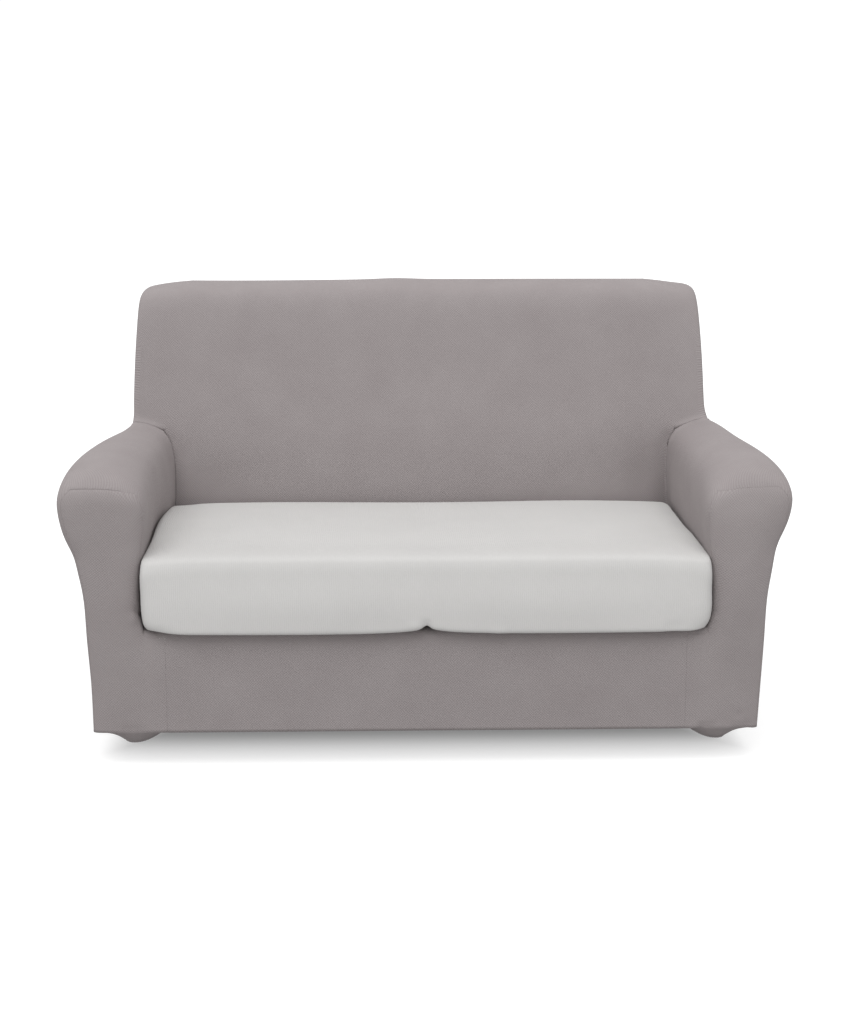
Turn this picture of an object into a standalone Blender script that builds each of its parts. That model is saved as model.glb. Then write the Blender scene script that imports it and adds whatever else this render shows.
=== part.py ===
"""A two-seat sofa's stretch slipcover: a hollow body cover of seven sewn panels, and a seat cushion's cover.

Metres, +Z up. Sizes are given from the hem (Z 0) and from the front face (Y 0), and the root empty moves the
whole so that the origin is at the underside of the backrest's top, where the sofa carries the cover. The
cover is drawn over the sofa's form, a lattice of cells: its free faces are a cage, which Subdivision Surface
smooths and Solidify gives the cloth's thickness, and which is then cut into the panels that are sewn together.
"""

import bmesh
import bpy
from mathutils import Vector

# Driving sizes
CLOTH = 0.002  # thickness of the knitted cloth
SEAM_GAP = 0.0003  # between two panels along their seam
REST_GAP = 0.0003  # between the cushion cover and the deck that it lies on
SMOOTH_LEVELS = 2
DEPTH = 0.840  # front face to outside back
BACK_HEIGHT = 0.871  # hem to the top of the backrest
ARM_HEIGHT = 0.548  # hem to the edges of the arm tops
FACING_HEIGHT = 0.508  # hem to the seam across an arm front
DECK_HEIGHT = 0.214  # hem to the deck below the cushion
ARM_CROWN = 0.012  # how far the middle of an arm top stands above its edges
FACING_CROWN = 0.006  # how far the middle of an arm front stands forward
FLAP = 0.060  # hem turned under the sofa's frame
FLAP_AT_FOOT = 0.034  # the same where the cloth passes in front of a foot
FLAP_SAG = 0.044  # how far it hangs there
INNER_SAG = 0.4  # share of that sag at the foot's inner side
FOOT_X = 0.635  # middle of each foot, out from the middle of the sofa

# Lattice lines: columns run out from the middle cell, rows run back from the front, levels run up.
SEAM, INNER, CREST, OUTER = range(4)
MIDDLE_CELL = -1
FRONT, SHOULDER, MIDWAY, BACKREST, REAR = range(5)
TUCK, HEM, DECK, WAIST, HEAD, ARM_TOP, BACK_MID, BACK_TOP = range(-1, 7)

COLUMN_X = {SEAM: 0.536, INNER: 0.578, CREST: 0.660}
ROW_Y = {FRONT: 0.0, SHOULDER: 0.055, MIDWAY: 0.300, BACKREST: 0.555, REAR: DEPTH}
LEVEL_Z = {
    TUCK: 0.0,
    HEM: 0.0,
    DECK: DECK_HEIGHT,
    WAIST: 0.304,
    HEAD: 0.476,
    ARM_TOP: ARM_HEIGHT,
    BACK_MID: 0.720,
    BACK_TOP: BACK_HEIGHT,
}
# The arm's inner column where the arm top rounds over towards the seat: its place and how far it falls there.
INNER_X = {HEAD: 0.568, ARM_TOP: 0.583}
INNER_DROP = {ARM_TOP: 0.009}
# The backrest's top slopes down to its corners: how far it falls in each column.
BACK_DROP = {INNER: 0.004, CREST: 0.012, OUTER: 0.020}
BACK_CREST_X = 0.624
# Half width of the outer side at each level, in the rows from the front to the rear.
SIDE_X = {
    #         front, shoulder, midway, backrest, rear
    HEM: (0.692, 0.694, 0.695, 0.695, 0.693),
    DECK: (0.701, 0.703, 0.703, 0.699, 0.695),
    WAIST: (0.696, 0.698, 0.698, 0.693, 0.688),
    HEAD: (0.759, 0.763, 0.763, 0.740, 0.696),
    ARM_TOP: (0.738, 0.742, 0.742, 0.661, 0.666),
    BACK_MID: (None, None, None, 0.657, 0.654),
    BACK_TOP: (None, None, None, 0.654, 0.648),
}
# The arm's inner column at the front, where its edge beside the cushion bows outwards.
SHOULDER_BOW = 0.6  # share of that bow which is left at the next row
FACING_X = {HEM: 0.560, DECK: 0.586, WAIST: 0.596, HEAD: 0.556, ARM_TOP: 0.590}
FACING_SHOULDER = 0.018  # how far the seam drops at the arm front's upper inner corner
FACING_WRAP = 0.012  # how far an arm front reaches round the arm's outer side
# The backrest leans: distance of its front from the front face at each level.
LEAN_Y = {DECK: 0.550, WAIST: 0.552, HEAD: 0.560, ARM_TOP: 0.572, BACK_MID: 0.612, BACK_TOP: 0.645}

# How tightly the cloth turns at an edge of the form: 0 is soft, 1 is a fold.
HEM_FOLD = 1.0
STRAIGHT_SEAM = 1.0  # on flat cloth it only keeps the column straight
DECK_FOLD = 1.0  # where the deck is tucked in along the arms and the backrest
TUCKED_FOLD = 0.8
SIDE_FOLD = 0.36
WEB_FOLD = 0.6
RAIL_FOLD = 0.4
TOP_FOLD = 0.25

# Seat cushion cover, with a lattice of its own: one block of cells
CUSHION_HALF = 0.5710  # half width between the arms
CUSHION_BULGE = 0.0230  # how far it swells over the arm fronts at its front corners
CUSHION_HEIGHT = 0.373  # hem to the top
CUSHION_BOTTOM = DECK_HEIGHT + REST_GAP
CUSHION_FRONT = -0.022
CUSHION_REAR = 0.540
CUSHION_HEM = 0.055  # cloth turned under the cushion
CUSHION_CROWN = 0.004
CUSHION_CORNER = 0.005  # how far its lower front corners are cut back
CUSHION_SHOULDER = 0.010  # the same for its upper front corners
CUSHION_EDGE_RISE = 0.005  # how far its upper side edges stand up along the arms
CUSHION_REAR_DROP = 0.005  # how far its upper rear corners fall back
NOTCH_HALF = 0.010  # half width of the fold between the two cushions at the front
NOTCH_RISE = 0.022
CUSHION_COLUMNS = (0.0, NOTCH_HALF, 0.300, 0.530, CUSHION_HALF)
CUSHION_ROWS = (CUSHION_FRONT, 0.120, CUSHION_REAR)
CUSHION_LEVELS = (CUSHION_BOTTOM, (CUSHION_BOTTOM + CUSHION_HEIGHT) / 2, CUSHION_HEIGHT)
LAST_COLUMN = len(CUSHION_COLUMNS) - 1
LAST_ROW = len(CUSHION_ROWS) - 1
LAST_LEVEL = len(CUSHION_LEVELS) - 1
CUSHION_FOLD = 0.5
CUSHION_HEM_FOLD = 0.75
CUSHION_CORNER_FOLD = 0.3

# Finish of the cloth
BODY_COLOUR = (0.31, 0.28, 0.27)
CUSHION_COLOUR = (0.64, 0.63, 0.62)
CLOTH_ROUGHNESS = 0.9
CLOTH_SHEEN = 0.2
SHARP_ANGLE = 0.6  # radians between faces above which an edge is shaded sharp

COLLECTION_NAME = "sofa_slipcover"
PANELS = (
    "back_panel",
    "outside_back_panel",
    "arm_sleeve_left",
    "arm_sleeve_right",
    "arm_front_left",
    "arm_front_right",
    "seat_panel",
)
CUSHION_COVER = "seat_cushion_cover"


def column_of(i):
    """Side and column of lattice line i: lines 0 and up run to the right, lines -1 and down to the left."""
    return (1, i) if i >= 0 else (-1, -i - 1)


def in_arm(i):
    """Whether the cells between lattice lines i and i + 1 lie in an arm."""
    return column_of(i)[1] >= INNER and column_of(i + 1)[1] >= INNER


def is_covered(cell):
    """Whether a lattice cell, named by its lowest corner, lies inside the sofa's form."""
    i, j, k = cell
    if not (-OUTER - 1 <= i < OUTER and FRONT <= j < REAR and HEM <= k < BACK_TOP):
        return False
    return k < DECK or j >= BACKREST or (in_arm(i) and k < ARM_TOP)


def cell_faces(cell):
    """Yield each face of a cell as its outward step and its corners, counter-clockwise from outside."""
    for axis in range(3):
        along, across = (axis + 1) % 3, (axis + 2) % 3
        for side in (0, 1):
            corners = []
            for u, v in ((0, 0), (1, 0), (1, 1), (0, 1)):
                corner = list(cell)
                corner[axis] += side
                corner[along] += u
                corner[across] += v
                corners.append(tuple(corner))
            step = [0, 0, 0]
            step[axis] = 1 if side else -1
            yield tuple(step), corners if side else corners[::-1]


def body_point(corner):
    """Place of one lattice corner of the body cover."""
    i, j, k = corner
    side, column = column_of(i)
    level = max(k, HEM)
    x = SIDE_X[level][j] if column == OUTER else COLUMN_X[column]
    y, z = ROW_Y[j], LEVEL_Z[k]
    if column == INNER:
        x = INNER_X.get(level, x)
        z -= INNER_DROP.get(level, 0)
    if k == BACK_TOP:
        x = BACK_CREST_X if column == CREST else x
        z -= BACK_DROP.get(column, 0)
    if j == BACKREST and level >= DECK:
        y = LEAN_Y[level]
    if j == SHOULDER and column == INNER:
        x += SHOULDER_BOW * (FACING_X[level] - x)
    if j == FRONT and column >= INNER:
        inner = FACING_X[level]
        middle = (inner + x) / 2 if level > HEM else FOOT_X
        x = {INNER: inner, CREST: middle}.get(column, x)
        y -= FACING_CROWN if column == CREST and level > HEM else 0
        y += FACING_WRAP if column == OUTER else 0
        z = FACING_HEIGHT if k == ARM_TOP else z
        z -= FACING_SHOULDER if k == ARM_TOP and column == INNER else 0
    elif column == CREST and k == ARM_TOP and j < REAR:
        z += ARM_CROWN
    if k == TUCK:
        sag = {INNER: INNER_SAG * FLAP_SAG, CREST: FLAP_SAG}.get(column, 0) if j == FRONT else 0
        width = FLAP_AT_FOOT if sag else FLAP
        x -= width if column == OUTER else 0
        y += {FRONT: width, REAR: -width}.get(j, 0)
        z -= sag
    return Vector((side * x, y, z))


def body_panel(step, cell):
    """Name of the panel that covers one free face of the form."""
    i, j, k = cell
    side = "left" if i < 0 else "right"
    if step[1] > 0:
        return "outside_back_panel"
    if step[1] < 0 and j == FRONT:
        return "seat_panel" if i == MIDDLE_CELL else f"arm_front_{side}"
    if step[1] < 0 or k >= ARM_TOP:
        return "back_panel"
    if step[2] > 0 and k == HEM:
        return "seat_panel"
    return f"arm_sleeve_{side}"


def body_fold(a, b):
    """How tightly the cloth turns along the cage edge between two lattice corners."""
    columns = {column_of(a[0])[1], column_of(b[0])[1]}
    rows, levels = {a[1], b[1]}, {a[2], b[2]}
    in_corner = columns == {INNER} or min(columns) >= INNER and levels == {ARM_TOP}
    if a[0] == b[0] and columns == {SEAM}:
        return STRAIGHT_SEAM
    if TUCK in levels:
        return 0.0
    if levels == {HEM}:
        return HEM_FOLD
    if levels == {DECK} and (columns == {INNER} or rows == {BACKREST}):
        return DECK_FOLD
    if rows == {BACKREST} and max(levels) <= ARM_TOP and in_corner:
        return TUCKED_FOLD
    if columns == {OUTER} and levels == {ARM_TOP} and min(rows) >= BACKREST:
        return WEB_FOLD
    if rows == {FRONT} and levels == {DECK} and max(columns) <= INNER:
        return RAIL_FOLD
    if columns == {OUTER} and rows in ({FRONT}, {REAR}):
        return SIDE_FOLD
    if levels == {BACK_TOP} and (columns == {OUTER} or rows in ({BACKREST}, {REAR})):
        return TOP_FOLD
    if columns == {OUTER} and rows == {BACKREST} and min(levels) >= ARM_TOP:
        return TOP_FOLD
    return 0.0


def body_cage():
    """Faces of the body cover's cage as (panel, corners), with the hem turned under the sofa."""
    faces = []
    for i in range(-OUTER - 1, OUTER):
        for j in range(REAR):
            for k in range(BACK_TOP):
                cell = (i, j, k)
                for step, corners in cell_faces(cell) if is_covered(cell) else ():
                    beyond = tuple(c + s for c, s in zip(cell, step))
                    if is_covered(beyond) or step[2] < 0:
                        continue
                    panel = body_panel(step, cell)
                    faces.append((panel, corners))
                    if k == HEM and step[2] == 0:
                        faces.append((panel, turned_under(corners, HEM, TUCK)))
    return faces


def turned_under(corners, edge_level, tuck_level):
    """The face that carries on below a wall face's bottom edge and turns in under it."""
    ring = corners[-1:] + corners[:-1]
    start, end = next(pair for pair in zip(ring, corners) if pair[0][2] == pair[1][2] == edge_level)
    return [end, start, (*start[:2], tuck_level), (*end[:2], tuck_level)]


def cushion_point(corner):
    """Place of one lattice corner of the cushion cover."""
    i, j, k = corner
    side, column, level = (-1 if i < 0 else 1), abs(i), max(k, 0)
    x, y, z = CUSHION_COLUMNS[column], CUSHION_ROWS[j], CUSHION_LEVELS[level]
    if column == LAST_COLUMN and j == 0:
        x += CUSHION_BULGE
    if level == LAST_LEVEL and column < LAST_COLUMN and j > 0:
        z += CUSHION_CROWN
    if level == LAST_LEVEL and column == LAST_COLUMN and j > 0:
        z += CUSHION_EDGE_RISE
    if column == 0 and j == 0 and level == 0:
        z += NOTCH_RISE
    if column == LAST_COLUMN and j == 0 and level == 0:
        x -= CUSHION_CORNER
        z += CUSHION_CORNER / 2
    if column == LAST_COLUMN and j == 0 and level == LAST_LEVEL:
        x -= CUSHION_SHOULDER
        z -= CUSHION_SHOULDER
    if column == LAST_COLUMN and j == LAST_ROW and level == LAST_LEVEL:
        y -= CUSHION_REAR_DROP
        z -= CUSHION_REAR_DROP
    if k == TUCK:
        x -= CUSHION_HEM if column == LAST_COLUMN else 0
        y += {0: CUSHION_HEM, LAST_ROW: -CUSHION_HEM}.get(j, 0)
    return Vector((side * x, y, z))


def cushion_fold(a, b):
    """How tightly the cloth turns along a cage edge of the cushion cover."""
    at_side = {abs(a[0]), abs(b[0])} == {LAST_COLUMN}
    at_end = {a[1], b[1]} in ({0}, {LAST_ROW})
    levels = {a[2], b[2]}
    if levels == {0} and {a[1], b[1]} == {0}:
        return CUSHION_HEM_FOLD
    if at_side and at_end:
        return CUSHION_CORNER_FOLD if min(levels) > 0 else 0.0
    return CUSHION_FOLD if levels in ({0}, {LAST_LEVEL}) and (at_side or at_end) else 0.0


def cushion_cage():
    """Faces of the cushion cover's cage, with its hem turned under and its underside open."""
    lines = (range(-LAST_COLUMN, LAST_COLUMN), range(LAST_ROW), range(LAST_LEVEL))
    cells = [(i, j, k) for i in lines[0] for j in lines[1] for k in lines[2]]
    faces = []
    for cell in cells:
        for step, corners in cell_faces(cell):
            beyond = tuple(c + s for c, s in zip(cell, step))
            if beyond in cells or step[2] < 0:
                continue
            faces.append((CUSHION_COVER, corners))
            if cell[2] == 0 and step[2] == 0:
                faces.append((CUSHION_COVER, turned_under(corners, 0, TUCK)))
    return faces


def make_material(name, colour):
    """A matt cloth with a faint bloom."""
    material = bpy.data.materials.new(name)
    material.use_nodes = True
    shader = material.node_tree.nodes["Principled BSDF"]
    shader.inputs["Base Color"].default_value = (*colour, 1.0)
    shader.inputs["Roughness"].default_value = CLOTH_ROUGHNESS
    shader.inputs["Metallic"].default_value = 0.0
    shader.inputs["Sheen Weight"].default_value = CLOTH_SHEEN
    return material


def make_cage(name, faces, point, fold, panels, collection):
    """A cage object from its faces, with a material slot for each panel and a crease weight on each edge."""
    corners = sorted({corner for _, face in faces for corner in face})
    index = {corner: n for n, corner in enumerate(corners)}
    polygons = [[index[corner] for corner in face] for _, face in faces]
    mesh = bpy.data.meshes.new(name)
    mesh.from_pydata([point(corner) for corner in corners], [], polygons)
    for panel in panels:
        mesh.materials.append(bpy.data.materials[panel])
    for polygon, (panel, _) in zip(mesh.polygons, faces):
        polygon.material_index = panels.index(panel)
    creases = mesh.attributes.new("crease_edge", "FLOAT", "EDGE")
    for edge, crease in zip(mesh.edges, creases.data):
        crease.value = fold(*(corners[v] for v in edge.vertices))
    cage = bpy.data.objects.new(name, mesh)
    collection.objects.link(cage)
    smooth = cage.modifiers.new("smooth", "SUBSURF")
    smooth.levels = smooth.render_levels = SMOOTH_LEVELS
    cloth = cage.modifiers.new("cloth", "SOLIDIFY")
    cloth.thickness = CLOTH
    cloth.offset = -1.0
    cloth.use_even_offset = True
    return cage


def seam_shift(vert, outer):
    """How far a point on a seam moves into its own panel, so that the panels part by the seam gap."""
    edges = [edge for edge in vert.link_edges if edge.is_boundary]
    neighbours = [edge.other_vert(vert).co for edge in edges if edge.other_vert(vert) in outer]
    along = neighbours[0] - (neighbours[1] if len(neighbours) > 1 else vert.co)
    centres = [face.calc_center_median() for face in vert.link_faces if all(v in outer for v in face.verts)]
    inward = sum(centres, Vector()) / len(centres) - vert.co
    inward -= inward.project(along)
    return inward.normalized() * SEAM_GAP / 2


def close_seam(bm, edge, lining):
    """Close the cloth along one seam edge, split the same way on both sides of the seam."""
    start = edge.link_loops[0].vert
    low, high = sorted(edge.verts, key=lambda vert: vert.index)
    for triangle in ((high, low, lining[high]), (lining[high], low, lining[low])):
        bm.faces.new(triangle if start is low else triangle[::-1])


def cut_panel(cloth, name, slot, collection, root):
    """One sewn panel: its faces of the thick cloth, drawn back from its seams and closed along them."""
    bm = bmesh.new()
    bm.from_mesh(cloth)
    bm.verts.ensure_lookup_table()
    half = len(bm.verts) // 2
    outer = set(bm.verts[:half])
    lining = dict(zip(bm.verts[:half], bm.verts[half:]))
    others = [face for face in bm.faces if face.material_index != slot]
    bmesh.ops.delete(bm, geom=others, context="FACES")
    seams = [edge for edge in bm.edges if edge.is_boundary and all(v in outer for v in edge.verts)]
    shifts = {vert: seam_shift(vert, outer) for edge in seams for vert in edge.verts}
    for edge in seams:
        close_seam(bm, edge, lining)
    for vert, shift in shifts.items():
        vert.co += shift
        lining[vert].co += shift
    mesh = bpy.data.meshes.new(name)
    bm.to_mesh(mesh)
    bm.free()
    mesh.materials.append(bpy.data.materials[name])
    mesh.polygons.foreach_set("material_index", [0] * len(mesh.polygons))
    finish(bpy.data.objects.new(name, mesh), collection, root)


def finish(panel, collection, root):
    """Put a panel under the root, shaded smooth but for its cut edges."""
    collection.objects.link(panel)
    panel.parent = root
    panel.data.shade_smooth()
    panel.data.set_sharp_from_angle(angle=SHARP_ANGLE)


def main():
    for old in list(bpy.data.objects):
        bpy.data.objects.remove(old, do_unlink=True)
    parts = bpy.data.collections.new(COLLECTION_NAME)
    guides = bpy.data.collections.new("guides")
    for collection in (parts, guides):
        bpy.context.scene.collection.children.link(collection)
    for panel in PANELS:
        make_material(panel, BODY_COLOUR)
    make_material(CUSHION_COVER, CUSHION_COLOUR)

    root = bpy.data.objects.new("sofa_top", None)
    parts.objects.link(root)
    root.location = (0.0, -(LEAN_Y[BACK_TOP] + DEPTH) / 2, -(BACK_HEIGHT - CLOTH))

    body = make_cage("body_form", body_cage(), body_point, body_fold, PANELS, guides)
    body.hide_render = True
    body.display_type = "WIRE"
    bpy.context.view_layer.update()
    cloth = bpy.data.meshes.new_from_object(body.evaluated_get(bpy.context.evaluated_depsgraph_get()))
    for slot, name in enumerate(PANELS):
        cut_panel(cloth, name, slot, parts, root)
    bpy.data.meshes.remove(cloth)

    cushion = make_cage(CUSHION_COVER, cushion_cage(), cushion_point, cushion_fold, (CUSHION_COVER,), parts)
    cushion.parent = root
    cushion.data.shade_smooth()


if __name__ == "__main__":
    main()
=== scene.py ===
"""Looks of a two-seat sofa's stretch slipcover: a hollow body cover sewn from seven panels, and the pale
cover of its seat cushion.

Metres, +Z up. Sizes are given from the hem (Z 0) and from the front face (Y 0); HEM_TO_FRAME moves them into
the frame. Each cover is stretched over a lattice of cells, whose free faces are a cage. The cage is smoothed,
its cloth gets its soft folds and puckers, and it is then cut along the seams into panels.
"""

import json
import logging
import math
from collections.abc import Callable, Iterator, Sequence
from dataclasses import dataclass, field
from enum import Enum, IntEnum
from itertools import product

import bmesh
import bpy
import numpy as np
from mathutils import Matrix, Vector, kdtree


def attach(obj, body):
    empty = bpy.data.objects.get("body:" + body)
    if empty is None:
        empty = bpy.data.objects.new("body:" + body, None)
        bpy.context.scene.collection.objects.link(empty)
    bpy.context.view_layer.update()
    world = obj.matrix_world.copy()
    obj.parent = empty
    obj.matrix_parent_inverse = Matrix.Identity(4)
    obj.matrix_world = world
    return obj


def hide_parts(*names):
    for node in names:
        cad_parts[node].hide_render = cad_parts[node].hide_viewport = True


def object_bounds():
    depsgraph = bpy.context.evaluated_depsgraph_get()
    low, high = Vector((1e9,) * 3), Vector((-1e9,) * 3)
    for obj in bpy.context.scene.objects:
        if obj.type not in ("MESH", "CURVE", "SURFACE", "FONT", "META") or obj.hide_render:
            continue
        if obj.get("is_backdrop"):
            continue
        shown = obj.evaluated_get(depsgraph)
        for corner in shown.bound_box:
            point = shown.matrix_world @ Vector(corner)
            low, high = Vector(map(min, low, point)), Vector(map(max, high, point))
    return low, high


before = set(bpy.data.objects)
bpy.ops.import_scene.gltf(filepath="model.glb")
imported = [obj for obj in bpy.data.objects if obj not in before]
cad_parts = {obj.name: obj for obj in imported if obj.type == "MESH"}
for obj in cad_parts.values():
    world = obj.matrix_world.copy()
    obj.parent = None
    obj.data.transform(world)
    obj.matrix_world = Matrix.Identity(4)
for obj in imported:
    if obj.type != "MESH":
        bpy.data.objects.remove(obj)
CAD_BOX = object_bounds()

logging.basicConfig(level=logging.INFO, format="%(levelname)s %(message)s")
LOG = logging.getLogger("slipcover")

Corner = tuple[int, int, int]
Colour = tuple[float, float, float]
Wire = bpy.types.NodeSocket | float | str | tuple
Inputs = dict[str | int, Wire]

HEM_TO_FRAME = Vector((0.0, -0.7425, -0.869))
FLOOR_DROP = 0.073  # floor below the hem
CLOTH_MAP = "cloth"
SEAM_ATTRIBUTE = "seam_distance"
ACROSS_ATTRIBUTE = "across"
LEAST_COSINE = 0.6  # keeps the lining of a sharp fold from standing far off


class Column(IntEnum):
    """Lattice columns, counted out from the middle cell on each side."""

    SEAM = 0
    INNER = 1
    CREST = 2
    OUTER = 3


class Row(IntEnum):
    """Lattice rows, counted back from the front."""

    FRONT = 0
    SHOULDER = 1
    MIDWAY = 2
    BACKREST = 3
    REAR = 4


class Level(IntEnum):
    """Lattice levels, counted up from the hem; TUCK is the edge of the cloth turned in under it."""

    TUCK = -1
    HEM = 0
    DECK = 1
    WAIST = 2
    HEAD = 3
    ARM_TOP = 4
    BACK_MID = 5
    BACK_TOP = 6


class Panel(Enum):
    """The pieces of cloth, with the slot of the knit that each is cut from."""

    BACK = ("back_panel", "body_knit")
    OUTSIDE_BACK = ("outside_back_panel", "body_knit")
    SLEEVE_LEFT = ("arm_sleeve_left", "body_knit")
    SLEEVE_RIGHT = ("arm_sleeve_right", "body_knit")
    ARM_FRONT_LEFT = ("arm_front_left", "body_knit")
    ARM_FRONT_RIGHT = ("arm_front_right", "body_knit")
    SEAT = ("seat_panel", "body_knit")
    CUSHION = ("seat_cushion_cover", "cushion_knit")

    @property
    def node(self) -> str:
        """Name of the node that the panel stands for."""
        return self.value[0]

    @property
    def slot(self) -> str:
        """Material slot that the panel takes its finish from."""
        return self.value[1]


@dataclass(frozen=True)
class Cut:
    """The flat size that a panel was cut to, before it was stretched over the sofa."""

    width: float
    length: float
    area: float


EdgeTest = Callable[[frozenset[Panel]], bool]  # tells, from the panels on an edge, whether it counts


@dataclass(frozen=True)
class CageFace:
    """One face of a cage: its panel, its outward step and its corners."""

    panel: Panel
    step: Corner
    corners: tuple[Corner, ...]


def column_of(i: int) -> tuple[int, int]:
    """Give a lattice line's side, 1 or -1, and its column; lines from 0 up run right, from -1 down left."""
    return (1, i) if i >= 0 else (-1, -i - 1)


def cell_faces(cell: Corner) -> Iterator[tuple[Corner, tuple[Corner, ...]]]:
    """Go round the six faces of a lattice cell.

    Args:
        cell: the cell's lowest corner.

    Returns:
        Each face's outward step and its corners, counter-clockwise from outside.
    """
    for axis in range(3):
        along, across = (axis + 1) % 3, (axis + 2) % 3
        for side in (0, 1):
            corners = []
            for u, v in ((0, 0), (1, 0), (1, 1), (0, 1)):
                corner = list(cell)
                corner[axis] += side
                corner[along] += u
                corner[across] += v
                corners.append(tuple(corner))
            step = [0, 0, 0]
            step[axis] = 1 if side else -1
            yield tuple(step), tuple(corners) if side else tuple(corners[::-1])


def turned_under(face: CageFace) -> CageFace:
    """Carry a wall face on below its bottom edge at the hem, where the cloth turns in under it.

    Args:
        face: the wall face.

    Returns:
        The turned-under face, down to the cloth's free edge.
    """
    ring = face.corners[-1:] + face.corners[:-1]
    start, end = next(p for p in zip(ring, face.corners) if p[0][2] == p[1][2] == Level.HEM)
    corners = (end, start, (*start[:2], Level.TUCK), (*end[:2], Level.TUCK))
    return CageFace(face.panel, face.step, corners)


def bell(distance: np.ndarray, width: float) -> np.ndarray:
    """Fade softly from 1 at distance 0 to about a third at the width."""
    return np.exp(-((distance / width) ** 2))


def unit(vectors: np.ndarray) -> np.ndarray:
    """Scale each row to a length of 1."""
    return vectors / np.maximum(np.linalg.norm(vectors, axis=1), 1e-12)[:, None]


@dataclass(frozen=True)
class Fade:
    """A share that grows from 0 at its start to 1 over its run; a negative run grows downwards."""

    start: float
    run: float

    def of(self, values: np.ndarray) -> np.ndarray:
        """Work out the share at each value."""
        return np.clip((values - self.start) / self.run, 0.0, 1.0)


@dataclass(frozen=True)
class Form:
    """What a cover is stretched over: cells of a block. By itself it is the whole block, under one panel.

    Each kind of form also has point, which places a corner; fold, which says how tightly the cloth turns
    along an edge; and flat_place, which lays the cloth out flat.
    """

    block: tuple[range, range, range]
    panels: tuple[Panel, ...]

    def is_covered(self, cell: Corner) -> bool:
        """Tell whether a cell of the block, given by its lowest corner, lies inside the form."""
        return True

    def panel_of(self, step: Corner, cell: Corner) -> Panel:
        """Choose the panel that covers the free face of a cell that lies a step outwards."""
        return self.panels[0]

    def seam_shares(self, points: np.ndarray) -> tuple[np.ndarray, np.ndarray]:
        """Say how plainly a seam shows at each point and how deeply it is tucked in: one panel has none."""
        return np.zeros(len(points)), np.zeros(len(points))

    def cage(self) -> list[CageFace]:
        """List the free faces of the form, with the hem turned under it and its underside open.

        Returns:
            The faces, cell by cell.
        """
        cells = {cell for cell in product(*self.block) if self.is_covered(cell)}
        faces = []
        for cell in sorted(cells):
            for step, corners in cell_faces(cell):
                if tuple(c + s for c, s in zip(cell, step)) in cells or step[2] < 0:
                    continue
                faces.append(CageFace(self.panel_of(step, cell), step, corners))
                if cell[2] == Level.HEM and step[2] == 0:
                    faces.append(turned_under(faces[-1]))
        return faces


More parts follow.
